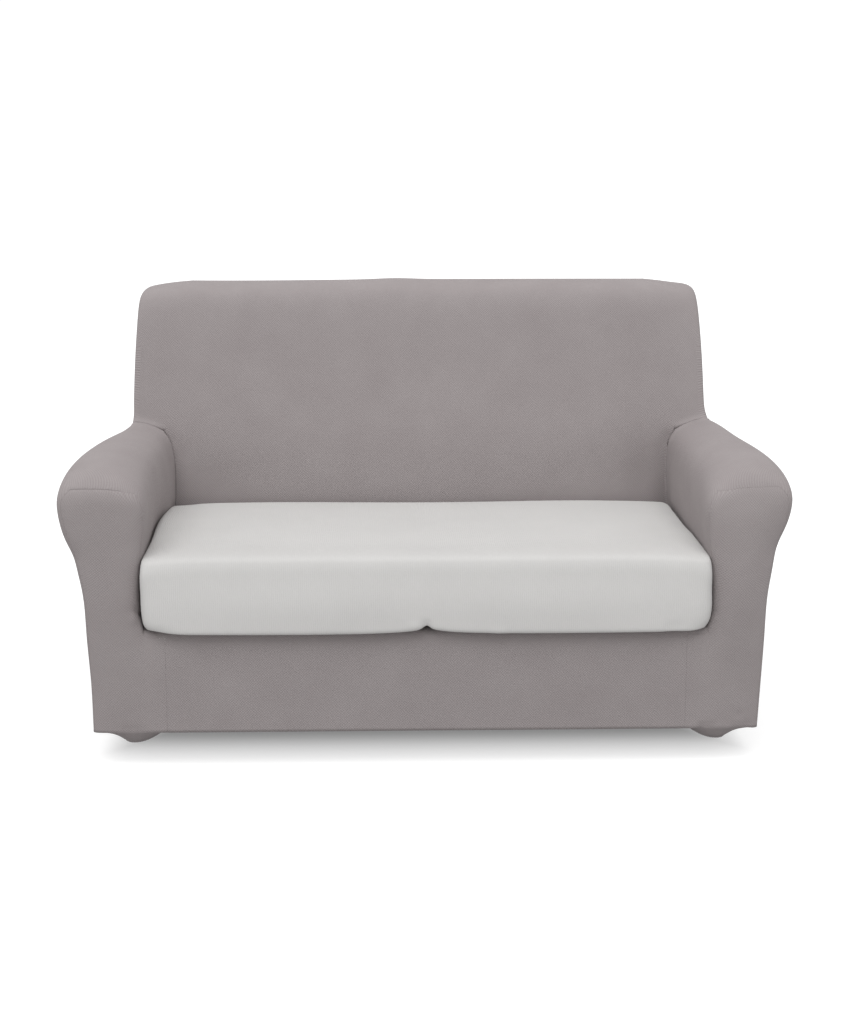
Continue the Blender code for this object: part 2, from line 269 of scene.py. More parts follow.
@dataclass(frozen=True)
class BodyForm(Form):
    """The sofa's upholstered form, which the body cover is stretched over."""

    block: tuple[range, range, range] = (
        range(-Column.OUTER - 1, Column.OUTER),
        range(Row.REAR),
        range(Level.BACK_TOP),
    )
    panels: tuple[Panel, ...] = tuple(panel for panel in Panel if panel is not Panel.CUSHION)
    facing_height: float = 0.508  # top of the arm fronts
    arm_crown: float = 0.012  # rise of the arm tops along their middle
    facing_crown: float = 0.006  # and of the arm fronts
    flap: float = 0.060  # cloth turned in under the hem
    flap_at_foot: float = 0.034
    flap_sag: float = 0.041  # how far the front one hangs down under an arm
    inner_sag: float = 0.5  # share of that sag at the arm's inner edge
    corner_drop: float = 0.004  # how much lower the hem hangs at the front corners
    foot_x: float = 0.635  # middle of a foot
    facing_shoulder: float = 0.018  # fall of an arm front's top towards its inner edge
    facing_wrap: float = 0.012  # how far its outer edge lies back
    shoulder_bow: float = 0.6  # share by which the row behind an arm front follows its inner edge
    column_x: tuple[float, ...] = (0.536, 0.578, 0.660)  # columns short of the outer side
    row_y: tuple[float, ...] = (0.0, 0.055, 0.300, 0.555, 0.840)
    level_z: tuple[float, ...] = (0.0, 0.214, 0.304, 0.476, 0.548, 0.720, 0.871)
    inner_x: tuple[float, ...] = (0.578, 0.578, 0.578, 0.568, 0.583, 0.578, 0.578)  # inside of an arm, by level
    inner_drop: float = 0.009  # fall of the arm top's inner edge
    back_drop: tuple[float, ...] = (0.0, 0.004, 0.012, 0.020)  # fall of the backrest's top in each column
    back_crest_x: float = 0.624
    facing_x: tuple[float, ...] = (0.560, 0.586, 0.596, 0.556, 0.590)  # inner edge of its front, by level
    lean_y: tuple[float, ...] = (0.555, 0.550, 0.552, 0.560, 0.572, 0.612, 0.645)  # backrest's front, by level
    side_x: tuple[tuple[float, ...], ...] = (  # outer side, by level and row
        (0.692, 0.694, 0.695, 0.695, 0.693),
        (0.701, 0.703, 0.703, 0.699, 0.695),
        (0.696, 0.698, 0.698, 0.693, 0.688),
        (0.759, 0.763, 0.763, 0.740, 0.696),
        (0.738, 0.742, 0.742, 0.661, 0.666),
        (0.657, 0.657, 0.657, 0.657, 0.654),
        (0.654, 0.654, 0.654, 0.654, 0.648),
    )
    arm_seam_up: Fade = Fade(0.472, 0.016)  # where the seam over an arm front shows
    arm_seam_side: Fade = Fade(0.740, -0.020)
    arm_seam_inner: Fade = Fade(0.588, 0.030)
    right_arm_seam: float = 0.6  # how plainly it shows on the right
    rear_seams: Fade = Fade(0.30, 0.05)  # how far back seams start to show
    base_seams: float = 0.45  # how plainly they show on the base's front
    base_edge: tuple[float, float] = (0.55, 0.05)  # how far out and back that reaches
    tuck_up: Fade = Fade(0.550, -0.035)  # where the cloth is tucked in between an arm and the backrest
    tuck_side: Fade = Fade(0.645, -0.045)
    tuck_back: Fade = Fade(0.49, 0.02)
    tuck_end: float = 0.62

    def is_covered(self, cell: Corner) -> bool:
        """Tell whether a cell of the block lies inside the form.

        Args:
            cell: the cell's lowest corner.

        Returns:
            True inside the base, an arm or the backrest.
        """
        i, j, k = cell
        in_arm = column_of(i)[1] >= Column.INNER and column_of(i + 1)[1] >= Column.INNER
        return k < Level.DECK or j >= Row.BACKREST or (in_arm and k < Level.ARM_TOP)

    def point(self, corner: Corner) -> Vector:
        """Place one lattice corner.

        Args:
            corner: its column line, row and level.

        Returns:
            The place, from the hem and the front face.
        """
        i, j, k = corner
        side, column = column_of(i)
        level = max(k, 0)
        x = self.side_x[level][j] if column == Column.OUTER else self.column_x[column]
        y, z = self.row_y[j], self.level_z[level]
        if column == Column.INNER:
            x = self.inner_x[level]
            z -= self.inner_drop if level == Level.ARM_TOP else 0.0
        if level == Level.BACK_TOP:
            x = self.back_crest_x if column == Column.CREST else x
            z -= self.back_drop[column]
        if j == Row.BACKREST and level >= Level.DECK:
            y = self.lean_y[level]
        if j == Row.SHOULDER and column == Column.INNER:
            x += self.shoulder_bow * (self.facing_x[level] - x)
        if j == Row.FRONT and column >= Column.INNER:
            inner = self.facing_x[level]
            middle = (inner + x) / 2 if level > 0 else self.foot_x
            x = {Column.INNER: inner, Column.CREST: middle}.get(column, x)
            y -= self.facing_crown if column == Column.CREST and level > 0 else 0.0
            y += self.facing_wrap if column == Column.OUTER else 0.0
            z = self.facing_height if k == Level.ARM_TOP else z
            z -= self.facing_shoulder if k == Level.ARM_TOP and column == Column.INNER else 0.0
            z -= self.corner_drop if column == Column.OUTER and level == Level.HEM else 0.0
        elif column == Column.CREST and k == Level.ARM_TOP and j < Row.REAR:
            z += self.arm_crown
        if k == Level.TUCK:
            sags = {Column.INNER: self.inner_sag * self.flap_sag, Column.CREST: self.flap_sag}
            sag = sags.get(column, 0.0) if j == Row.FRONT else 0.0
            width = self.flap_at_foot if sag else self.flap
            x -= width if column == Column.OUTER else 0.0
            y += {Row.FRONT: width, Row.REAR: -width}.get(j, 0.0)
            z -= sag
        return Vector((side * x, y, z))

    def panel_of(self, step: Corner, cell: Corner) -> Panel:
        """Choose the panel that covers one free face.

        Args:
            step: the face's outward step.
            cell: the cell that it belongs to.

        Returns:
            The panel.
        """
        i, j, k = cell
        left = i < 0
        if step[1] > 0:
            return Panel.OUTSIDE_BACK
        if step[1] < 0 and j == Row.FRONT:
            if column_of(i)[1] == column_of(i + 1)[1]:
                return Panel.SEAT
            return Panel.ARM_FRONT_LEFT if left else Panel.ARM_FRONT_RIGHT
        if step[1] < 0 or k >= Level.ARM_TOP:
            return Panel.BACK
        if step[2] > 0 and k == Level.HEM:
            return Panel.SEAT
        return Panel.SLEEVE_LEFT if left else Panel.SLEEVE_RIGHT

    def seam_shares(self, points: np.ndarray) -> tuple[np.ndarray, np.ndarray]:
        """Say how plainly a seam shows, and how deeply the cloth is tucked in along it.

        Seams show over the arm fronts and on the back, and hardly elsewhere. The tuck runs between an arm and
        the backrest.

        Args:
            points: the points, one a row.

        Returns:
            Two shares for each point, from 0 to 1.
        """
        x, y, z = np.abs(points[:, 0]), points[:, 1], points[:, 2]
        over_arm = self.arm_seam_up.of(z) * self.arm_seam_side.of(x) * self.arm_seam_inner.of(x)
        over_arm = over_arm * np.where(points[:, 0] > 0.0, self.right_arm_seam, 1.0)
        on_base = self.base_seams * (x < self.base_edge[0]) * (y < self.base_edge[1])
        tucked = self.tuck_up.of(z) * self.tuck_side.of(x) * self.tuck_back.of(y) * (y < self.tuck_end)
        return np.maximum(np.maximum(over_arm, self.rear_seams.of(y)), on_base), tucked

    def fold(self, a: Corner, b: Corner) -> float:
        """Say how tightly the cloth turns along a cage edge.

        Args:
            a: one end of the edge.
            b: its other end.

        Returns:
            0 for soft, up to 1 for a fold.
        """
        columns = {column_of(a[0])[1], column_of(b[0])[1]}
        rows, levels = {a[1], b[1]}, {a[2], b[2]}
        in_corner = columns == {Column.INNER} or min(columns) >= Column.INNER and levels == {Level.ARM_TOP}
        outer = columns == {Column.OUTER}
        rules = (
            # where the seat panel meets the arms, the cloth's free edge, the hem, and round the deck
            (a[0] == b[0] and columns == {Column.SEAM}, 1.0),
            (Level.TUCK in levels, 0.0),
            (levels == {Level.HEM}, 1.0),
            (levels == {Level.DECK} and (columns == {Column.INNER} or rows == {Row.BACKREST}), 1.0),
            # between an arm and the backrest, inside and outside, and along the deck's front
            (rows == {Row.BACKREST} and max(levels) <= Level.ARM_TOP and in_corner, 0.8),
            (outer and levels == {Level.ARM_TOP} and min(rows) >= Row.BACKREST, 0.6),
            (rows == {Row.FRONT} and levels == {Level.DECK} and max(columns) <= Column.INNER, 0.4),
            # outer edges of the arm fronts and of the back, and round the top of the backrest
            (outer and rows in ({Row.FRONT}, {Row.REAR}), 0.36),
            (levels == {Level.BACK_TOP} and (outer or rows in ({Row.BACKREST}, {Row.REAR})), 0.25),
            (outer and rows == {Row.BACKREST} and min(levels) >= Level.ARM_TOP, 0.25),
        )
        return next((weight for applies, weight in rules if applies), 0.0)

    def flat_place(self, face: CageFace, corner: Corner) -> tuple[float, float]:
        """Lay one corner of a face out flat, so that the knit follows the cloth.

        Args:
            face: the face.
            corner: one of its corners.

        Returns:
            Place across and along the cloth, in metres.
        """
        at = self.point((*corner[:2], max(corner[2], Level.HEM)))
        x, y, z = at
        side, row = math.copysign(1.0, x), corner[1]
        down = -1.0
        if face.panel in (Panel.SLEEVE_LEFT, Panel.SLEEVE_RIGHT):
            line = 1 if side > 0 else -2
            top = self.point((line, row, Level.ARM_TOP))
            outer = self.point((Column.OUTER if side > 0 else -Column.OUTER - 1, row, Level.ARM_TOP))
            u, v = y, z
            if face.step[2] > 0:
                v = z + abs(x) - abs(top.x)
            elif face.step[0] * side > 0:
                v = 2 * top.z + abs(outer.x) - abs(top.x) - z
                down = 1.0
        elif face.step[0] != 0:
            u, v = side * (abs(x) + y - self.lean_y[max(corner[2], 0)]), z
        elif face.step[2] > 0:
            edge = self.lean_y[Level.BACK_TOP] if face.panel is Panel.BACK else 0.0
            u, v = x, z + y - edge
        else:
            u, v = x, z
        if corner[2] == Level.TUCK:
            v += down * (self.point(corner) - at).length
        return u, v


@dataclass(frozen=True)
class CushionForm(Form):
    """The seat cushion, which its cover is stretched over: one block of cells."""

    block: tuple[range, range, range] = (range(-4, 4), range(2), range(2))
    panels: tuple[Panel, ...] = (Panel.CUSHION,)
    half: float = 0.5710
    bulge: float = 0.0230  # how much wider the front is
    height: float = 0.373
    bottom: float = 0.2143
    front: float = -0.022
    rear: float = 0.540
    hem: float = 0.055  # cloth turned in under the cushion
    crown: float = 0.004
    corner: float = 0.005  # rounding of the front's lower corners
    shoulder: float = 0.010  # and of its upper ones
    edge_rise: float = 0.005
    rear_drop: float = 0.005
    notch_half: float = 0.010  # the fold between the two fillings, under the front
    notch_rise: float = 0.022
    quarter: float = 0.300
    last_quarter: float = 0.530
    mid_row: float = 0.120

    @property
    def columns(self) -> tuple[float, ...]:
        """Columns, out from the middle."""
        return (0.0, self.notch_half, self.quarter, self.last_quarter, self.half)

    @property
    def rows(self) -> tuple[float, ...]:
        """Rows, back from the front."""
        return (self.front, self.mid_row, self.rear)

    @property
    def levels(self) -> tuple[float, ...]:
        """Levels, up from the deck."""
        return (self.bottom, (self.bottom + self.height) / 2, self.height)

    def point(self, corner: Corner) -> Vector:
        """Place one lattice corner.

        Args:
            corner: its column line, row and level.

        Returns:
            The place, from the hem and the front face.
        """
        i, j, k = corner
        side, column, level = (-1 if i < 0 else 1), abs(i), max(k, 0)
        last_column, last_row, last_level = len(self.columns) - 1, len(self.rows) - 1, len(self.levels) - 1
        x, y, z = self.columns[column], self.rows[j], self.levels[level]
        if column == last_column and j == 0:
            x += self.bulge
        if level == last_level and column < last_column and j > 0:
            z += self.crown
        if level == last_level and column == last_column and j > 0:
            z += self.edge_rise
        if column == 0 and j == 0 and level == 0:
            z += self.notch_rise
        if column == last_column and j == 0 and level == 0:
            x -= self.corner
            z += self.corner / 2
        if column == last_column and j == 0 and level == last_level:
            x -= self.shoulder
            z -= self.shoulder
        if column == last_column and j == last_row and level == last_level:
            y -= self.rear_drop
            z -= self.rear_drop
        if k == Level.TUCK:
            x -= self.hem if column == last_column else 0.0
            y += {0: self.hem, last_row: -self.hem}.get(j, 0.0)
        return Vector((side * x, y, z))

    def fold(self, a: Corner, b: Corner) -> float:
        """Say how tightly the cloth turns along a cage edge.

        Args:
            a: one end of the edge.
            b: its other end.

        Returns:
            0 for soft, up to 1 for a fold.
        """
        rows, levels = {a[1], b[1]}, {a[2], b[2]}
        at_side = {abs(a[0]), abs(b[0])} == {len(self.columns) - 1}
        at_end = rows in ({0}, {len(self.rows) - 1})
        at_bottom, at_top = levels == {0}, levels == {len(self.levels) - 1}
        rules = (
            (at_bottom and rows == {0}, 0.75),
            (at_side and at_end, 0.3 if min(levels) > 0 else 0.0),
            (at_top and rows == {0}, 0.38),
            ((at_bottom or at_top) and (at_side or at_end), 0.5),
        )
        return next((weight for applies, weight in rules if applies), 0.0)

    def flat_place(self, face: CageFace, corner: Corner) -> tuple[float, float]:
        """Lay one corner of a face out flat, so that the ribs follow the cloth.

        Args:
            face: the face.
            corner: one of its corners.

        Returns:
            Place across and along the cloth, in metres.
        """
        at = self.point((*corner[:2], max(corner[2], Level.HEM)))
        x, y, z = at
        if face.step[2] > 0:
            u, v = x, z + y - self.front
        else:
            u, v = (x, z) if face.step[0] == 0 else (y, z)
        if corner[2] == Level.TUCK:
            v -= (self.point(corner) - at).length
        return u, v


@dataclass(frozen=True, kw_only=True)
class Feature:
    """A soft rise or hollow of the cloth, mirrored or not. Each kind's lift_on shapes it on one side."""

    mirrored: bool = False

    def lift(self, points: np.ndarray) -> np.ndarray:
        """Work out how far the feature lifts each point, in metres."""
        sides = (1.0, -1.0) if self.mirrored else (1.0,)
        return sum(self.lift_on(np.array((side, 1.0, 1.0)), points) for side in sides)


@dataclass(frozen=True)
class Crease(Feature):
    """A soft trough or ridge in the cloth, along a given line."""

    path: tuple[tuple[float, float, float], ...]
    width: float  # from its line to where it has faded out to a third
    rise: float  # height of a ridge; a trough's is negative
    fade: float = 0.5  # share of its length over which it dies away at each end

    def lift_on(self, side: np.ndarray, points: np.ndarray) -> np.ndarray:
        """Work out the lift for one side's line.

        Args:
            side: what the line is scaled by, for its own side or for the other.
            points: the points, one a row.

        Returns:
            The lift of each point, in metres.
        """
        path = np.array(self.path) * side
        starts, ends = path[:-1], path[1:]
        lengths = np.linalg.norm(ends - starts, axis=1)
        run = np.concatenate(([0.0], np.cumsum(lengths))) / lengths.sum()
        nearest = np.full(len(points), np.inf)
        place = np.zeros(len(points))
        for n, (start, end) in enumerate(zip(starts, ends)):
            share = np.clip((points - start) @ (end - start) / lengths[n] ** 2, 0.0, 1.0)
            away = np.linalg.norm(points - start - share[:, None] * (end - start), axis=1)
            closer = away < nearest
            nearest[closer] = away[closer]
            place[closer] = (run[n] + share * (run[n + 1] - run[n]))[closer]
        ends_fade = np.clip(np.minimum(place, 1.0 - place) / self.fade, 0.0, 1.0)
        smooth = ends_fade * ends_fade * (3.0 - 2.0 * ends_fade)
        return self.rise * bell(nearest, self.width) * smooth


@dataclass(frozen=True)
class Swell(Feature):
    """A broad, soft rise or hollow of the cloth over what fills it."""

    centre: tuple[float, float, float]
    reach: tuple[float, float, float]
    rise: float

    def lift_on(self, side: np.ndarray, points: np.ndarray) -> np.ndarray:
        """Work out the lift around the centre on one side, as a crease does along its line."""
        apart = (points - np.array(self.centre) * side) / self.reach
        return self.rise * np.exp(-((apart**2).sum(axis=1)))


@dataclass(frozen=True)
class SeamShape:
    """How the cloth is drawn in along a seam, and tucked in between an arm and the backrest."""

    depth: float = 0.0006
    width: float = 0.0040
    gap: float = 0.0003  # between the two panels
    hidden: float = 0.02  # added to the distance from a seam that doesn't show
    tuck: float = 0.0140  # how far back the cloth is tucked in
    tuck_width: float = 0.0038
    hollow: float = 0.0060  # how far the backrest's cloth sinks in front of a tuck
    hollow_width: float = 0.0220
    hollow_up: Fade = Fade(0.575, -0.05)  # height at which it dies away
    slack_side: float = 0.6  # share of that hollow on the left
    roll: float = 0.0025  # how far the arm's cloth swells over a tuck
    roll_place: float = 0.0120  # distance of that swelling's crest from the seam
    roll_width: float = 0.0120
    facing: Fade = Fade(0.2, 0.4)  # how squarely cloth faces the front to count as the backrest's


@dataclass
class ClothSurface:
    """A cover's outer surface before it is cut into panels, as plain arrays.

    points: places of its vertices; quads: their indices; slots: each face's panel; flat: each face corner's
    place on the cloth laid out flat.
    """

    points: np.ndarray
    quads: np.ndarray
    slots: np.ndarray
    flat: np.ndarray
    panels: tuple[Panel, ...]
    normals: np.ndarray = field(init=False)
    seam: np.ndarray = field(init=False)
    seam_distance: np.ndarray = field(init=False)
    shown_distance: np.ndarray = field(init=False)

    def __post_init__(self) -> None:
        """Find the seams and the normals."""
        self.seam = self.find_seams()
        self.normals = self.find_normals()
        self.seam_distance = self.find_seam_distance()
        self.shown_distance = self.seam_distance

    def find_seams(self) -> np.ndarray:
        """Find where panels meet.

        Returns:
            True at each vertex on a seam.
        """
        first = np.full(len(self.points), len(self.panels))
        last = np.full(len(self.points), -1)
        for corner in range(4):
            np.minimum.at(first, self.quads[:, corner], self.slots)
            np.maximum.at(last, self.quads[:, corner], self.slots)
        return first != last

    def face_normals(self) -> np.ndarray:
        """Work out each face's outward direction, as long as its area."""
        a, b, c, d = (self.points[self.quads[:, n]] for n in range(4))
        return np.cross(c - a, d - b) / 2.0

    def find_normals(self) -> np.ndarray:
        """Work out the outward direction at each vertex.

        Returns:
            The directions, one a row.
        """
        normals = np.zeros_like(self.points)
        faces = self.face_normals()
        for corner in range(4):
            np.add.at(normals, self.quads[:, corner], faces)
        return unit(normals)

    def find_seam_distance(self, reach: float = 0.045) -> np.ndarray:
        """Measure how far each vertex is from the nearest seam.

        Args:
            reach: largest distance that is told apart.

        Returns:
            The distances, in metres.
        """
        at_seam = np.flatnonzero(self.seam)
        distance = np.full(len(self.points), reach)
        if len(at_seam):
            tree = kdtree.KDTree(len(at_seam))
            for n in at_seam:
                tree.insert(self.points[n], int(n))
            tree.balance()
            distance = np.array([min(tree.find(point)[2], reach) for point in self.points])
        return distance

    def shape(self, features: Sequence[Feature]) -> None:
        """Push the cloth in and out along its own direction.

        Args:
            features: the creases and swells.
        """
        lift = sum((feature.lift(self.points) for feature in features), np.zeros(len(self.points)))
        self.points = self.points + self.normals * lift[:, None]
        self.normals = self.find_normals()

    def sink_seams(self, seams: SeamShape, shown: np.ndarray, tucked: np.ndarray) -> None:
        """Draw the cloth in along its seams, and tuck it in beside the arms.

        Args:
            seams: how a seam is sewn and tucked in.
            shown: how plainly the seam shows at each vertex, from 0 to 1.
            tucked: how much it is tucked in there, from 0 to 1.
        """
        away = self.seam_distance
        facing = seams.facing.of(-self.normals[:, 1])
        hollow = seams.hollow * tucked * facing * np.where(self.points[:, 0] < 0.0, seams.slack_side, 1.0)
        hollow *= seams.hollow_up.of(self.points[:, 2])
        lift = -seams.depth * shown * bell(away, seams.width)
        lift -= hollow * bell(away, seams.hollow_width)
        lift += seams.roll * tucked * (1.0 - facing) * bell(away - seams.roll_place, seams.roll_width)
        self.points = self.points + self.normals * lift[:, None]
        self.points[:, 1] += seams.tuck * tucked * bell(away, seams.tuck_width)
        self.shown_distance = self.seam_distance + (1.0 - shown) * seams.hidden

    def lining(self, thickness: float) -> np.ndarray:
        """Place the cloth's inner side, an even thickness below its outer side.

        Args:
            thickness: the cloth's thickness.

        Returns:
            The inner place of each vertex.
        """
        flat = unit(self.face_normals())
        total, count = np.zeros(len(self.points)), np.zeros(len(self.points))
        for corner in range(4):
            index = self.quads[:, corner]
            np.add.at(total, index, (self.normals[index] * flat).sum(axis=1))
            np.add.at(count, index, 1.0)
        cosine = np.clip(total / np.maximum(count, 1.0), LEAST_COSINE, 1.0)
        return self.points - self.normals * (thickness / cosine)[:, None]

    def border_edges(self, slot: int) -> np.ndarray:
        """List the edges of one panel's border.

        Args:
            slot: the panel's number.

        Returns:
            One row an edge: the face, the corner that it starts from, and its two vertices.
        """
        faces = np.flatnonzero(self.slots == slot)
        quads = self.quads[faces]
        starts, ends = quads.ravel(), np.roll(quads, -1, axis=1).ravel()
        rows = np.stack((np.repeat(faces, 4), np.tile(np.arange(4), len(faces)), starts, ends), axis=1)
        key = np.minimum(starts, ends).astype(np.int64) * len(self.points) + np.maximum(starts, ends)
        _, inverse, counts = np.unique(key, return_inverse=True, return_counts=True)
        return rows[counts[inverse] == 1]

    def drawn_back(self, slot: int, border: np.ndarray, gap: float) -> np.ndarray:
        """Work out how far each vertex of a seam moves into its own panel.

        Args:
            slot: the panel's number.
            border: the panel's border edges.
            gap: the gap between two panels.

        Returns:
            The move of each vertex of the whole surface.
        """
        faces = np.flatnonzero(self.slots == slot)
        centres = self.points[self.quads[faces]].mean(axis=1)
        inward, along = np.zeros_like(self.points), np.zeros_like(self.points)
        for corner in range(4):
            index = self.quads[faces, corner]
            np.add.at(inward, index, centres - self.points[index])
        run = self.points[border[:, 3]] - self.points[border[:, 2]]
        for end in (2, 3):
            np.add.at(along, border[:, end], run)
        along = unit(along)
        inward = unit(inward - along * (inward * along).sum(axis=1)[:, None])
        at_border = np.zeros(len(self.points), dtype=bool)
        at_border[border[:, 2:].ravel()] = True
        return inward * (at_border & self.seam)[:, None] * gap / 2

    def panel_mesh(self, slot: int, thickness: float, gap: float) -> bpy.types.Mesh:
        """Cut one panel out of the cloth, with its inner side and its edges closed.

        Args:
            slot: the panel's number.
            thickness: the cloth's thickness.
            gap: the gap along the seams.

        Returns:
            The panel's mesh, from the hem and the front face.
        """
        faces = np.flatnonzero(self.slots == slot)
        border = self.border_edges(slot)
        move = self.drawn_back(slot, border, gap)
        used, compact = np.unique(self.quads[faces], return_inverse=True)
        outer = compact.reshape(-1, 4)
        place = np.zeros(len(self.points), dtype=np.int64)
        place[used] = np.arange(len(used))
        points = np.concatenate(((self.points + move)[used], (self.lining(thickness) + move)[used]))
        start, end = place[border[:, 2]], place[border[:, 3]]
        count = len(used)
        rims = np.stack((end, start, start + count, end + count), axis=1)
        quads = np.concatenate((outer, outer[:, ::-1] + count, rims))
        uv = self.flat[faces]
        uv_start = self.flat[border[:, 0], border[:, 1]]
        uv_end = self.flat[border[:, 0], (border[:, 1] + 1) % 4]
        flats = np.concatenate((uv, uv[:, ::-1], np.stack((uv_end, uv_start, uv_start, uv_end), axis=1)))
        mesh = bpy.data.meshes.new(self.panels[slot].node)
        mesh.vertices.add(len(points))
        mesh.vertices.foreach_set("co", points.ravel())
        mesh.loops.add(quads.size)
        mesh.loops.foreach_set("vertex_index", quads.ravel())
        mesh.polygons.add(len(quads))
        mesh.polygons.foreach_set("loop_start", np.arange(0, quads.size, 4))
        mesh.update(calc_edges=True)
        layer = mesh.uv_layers.new(name=CLOTH_MAP)
        layer.data.foreach_set("uv", flats.ravel())
        distance = mesh.attributes.new(SEAM_ATTRIBUTE, "FLOAT", "POINT")
        distance.data.foreach_set("value", np.tile(self.shown_distance[used], 2))
        mesh.validate()
        mesh.shade_smooth()
        ends = np.empty(len(mesh.edges) * 2, dtype=np.int64)
        mesh.edges.foreach_get("vertices", ends)
        at_border = np.zeros(len(points), dtype=bool)
        at_border[start], at_border[start + count] = True, True
        pairs = ends.reshape(-1, 2)
        sharp = at_border[pairs[:, 0]] & at_border[pairs[:, 1]]
        mesh.attributes.new("sharp_edge", "BOOLEAN", "EDGE").data.foreach_set("value", sharp)
        return mesh

    def edge_runs(self, chosen: EdgeTest) -> tuple[np.ndarray, np.ndarray]:
        """List the surface's edges between panels, or at its free edge.

        Args:
            chosen: tells which of them count. A free edge has one panel.

        Returns:
            The edges as pairs of vertices, and for each vertex the direction across its edge.
        """
        sides: dict[tuple[int, int], list[int]] = {}
        for face, quad in enumerate(self.quads.tolist()):
            for a, b in zip(quad, quad[1:] + quad[:1]):
                sides.setdefault((min(a, b), max(a, b)), []).append(self.slots[face])
        edges = [
            edge
            for edge, slots in sides.items()
            if (len(slots) == 1 or slots[0] != slots[1]) and chosen(frozenset(self.panels[n] for n in slots))
        ]
        pairs = np.array(edges, dtype=np.int64).reshape(-1, 2)
        along = np.zeros_like(self.points)
        run = self.points[pairs[:, 1]] - self.points[pairs[:, 0]]
        for end in (0, 1):
            np.add.at(along, pairs[:, end], run * np.sign(run.sum(axis=1))[:, None])
        return pairs, unit(np.cross(self.normals, along))


@dataclass(frozen=True)
class Stretcher:
    """Stretches the cloth over a form: smooths the cage and splits it finely enough for its folds."""

    smooth_levels: int = 4
    longest_side: float = 0.0095
    longest_by_seam: float = 0.0036

    def stretch(self, form: Form) -> ClothSurface:
        """Make the cloth's outer surface over a form.

        Args:
            form: the form.

        Returns:
            The surface.
        """
        faces = form.cage()
        corners = sorted({corner for face in faces for corner in face.corners})
        index = {corner: n for n, corner in enumerate(corners)}
        mesh = bpy.data.meshes.new("cage")
        mesh.from_pydata([form.point(c) for c in corners], [], [[index[c] for c in f.corners] for f in faces])
        mesh.polygons.foreach_set("material_index", [form.panels.index(face.panel) for face in faces])
        for panel in form.panels:
            mesh.materials.append(None)
        layer = mesh.uv_layers.new(name=CLOTH_MAP)
        flats = [form.flat_place(face, corner) for face in faces for corner in face.corners]
        layer.data.foreach_set("uv", np.array(flats).ravel())
        creases = mesh.attributes.new("crease_edge", "FLOAT", "EDGE")
        for edge, crease in zip(mesh.edges, creases.data):
            crease.value = form.fold(*(corners[v] for v in edge.vertices))
        cage = new_object("cage", mesh)
        smooth = cage.modifiers.new("smooth", "SUBSURF")
        smooth.levels = smooth.render_levels = self.smooth_levels
        fine = finished_mesh(cage)
        surface = self.split(fine, form.panels)
        bpy.data.meshes.remove(fine)
        bpy.data.meshes.remove(mesh)
        return surface

    def split(self, mesh: bpy.types.Mesh, panels: tuple[Panel, ...]) -> ClothSurface:
        """Halve the long quads until none is longer than it may be.

        Args:
            mesh: the smoothed cage.
            panels: its panels, in the order of its slots.

        Returns:
            The surface as arrays.
        """
        bm = bmesh.new()
        bm.from_mesh(mesh)
        while long_edges := self.long_edges(bm):
            bmesh.ops.subdivide_edges(bm, edges=long_edges, cuts=1, use_grid_fill=True)
        bm.verts.index_update()
        uv = bm.loops.layers.uv[CLOTH_MAP]
        points = np.array([v.co[:] for v in bm.verts])
        quads = np.array([[v.index for v in f.verts] for f in bm.faces])
        slots = np.array([f.material_index for f in bm.faces])
        flat = np.array([[loop[uv].uv[:] for loop in f.loops] for f in bm.faces])
        bm.free()
        return ClothSurface(points, quads, slots, flat, panels)

    def is_long(self, edge: bmesh.types.BMEdge) -> bool:
        """Tell whether an edge is too long; one that leads away from a seam may be less long.

        Args:
            edge: the edge.

        Returns:
            True where it is to be halved.
        """
        length = edge.calc_length()
        if length <= self.longest_by_seam:
            return False
        ends_on_seam = [len({face.material_index for face in end.link_faces}) > 1 for end in edge.verts]
        return length > self.longest_side or ends_on_seam[0] != ends_on_seam[1]

    def long_edges(self, bm: bmesh.types.BMesh) -> list[bmesh.types.BMEdge]:
        """Find the rings of side-by-side edges in which one edge is too long.

        Args:
            bm: the mesh, of quads only.

        Returns:
            Every edge of those rings.
        """
        bm.edges.index_update()
        ring = list(range(len(bm.edges)))

        def head(n: int) -> int:
            """Find the number that stands for an edge's ring.

            Args:
                n: the edge.

            Returns:
                The number.
            """
            while ring[n] != n:
                ring[n] = ring[ring[n]]
                n = ring[n]
            return n

        for face in bm.faces:
            a, b, c, d = (edge.index for edge in face.edges)
            ring[head(a)] = head(c)
            ring[head(b)] = head(d)
        heads = [head(n) for n in range(len(ring))]
        long_rings = {heads[edge.index] for edge in bm.edges if self.is_long(edge)}
        return [edge for edge in bm.edges if heads[edge.index] in long_rings]


def new_object(name: str, data: bpy.types.ID) -> bpy.types.Object:
    """Make an object and put it into the scene.

    Args:
        name: its name.
        data: its mesh, light or camera.

    Returns:
        The object.
    """
    made = bpy.data.objects.new(name, data)
    bpy.context.scene.collection.objects.link(made)
    return made


def finished_mesh(made: bpy.types.Object) -> bpy.types.Mesh:
    """Apply an object's modifiers, and remove the object.

    Args:
        made: the object.

    Returns:
        Its mesh.
    """
    mesh = bpy.data.meshes.new_from_object(made.evaluated_get(bpy.context.evaluated_depsgraph_get()))
    bpy.data.objects.remove(made)
    return mesh


def add_piece(name: str, mesh: bpy.types.Mesh) -> bpy.types.Object:
    """Put a finished mesh into the scene, moved from the hem and the front face into the frame.

    Args:
        name: the piece's name.
        mesh: its mesh.

    Returns:
        The piece, at the origin.
    """
    mesh.transform(Matrix.Translation(HEM_TO_FRAME))
    mesh.update()
    return new_object(name, mesh)


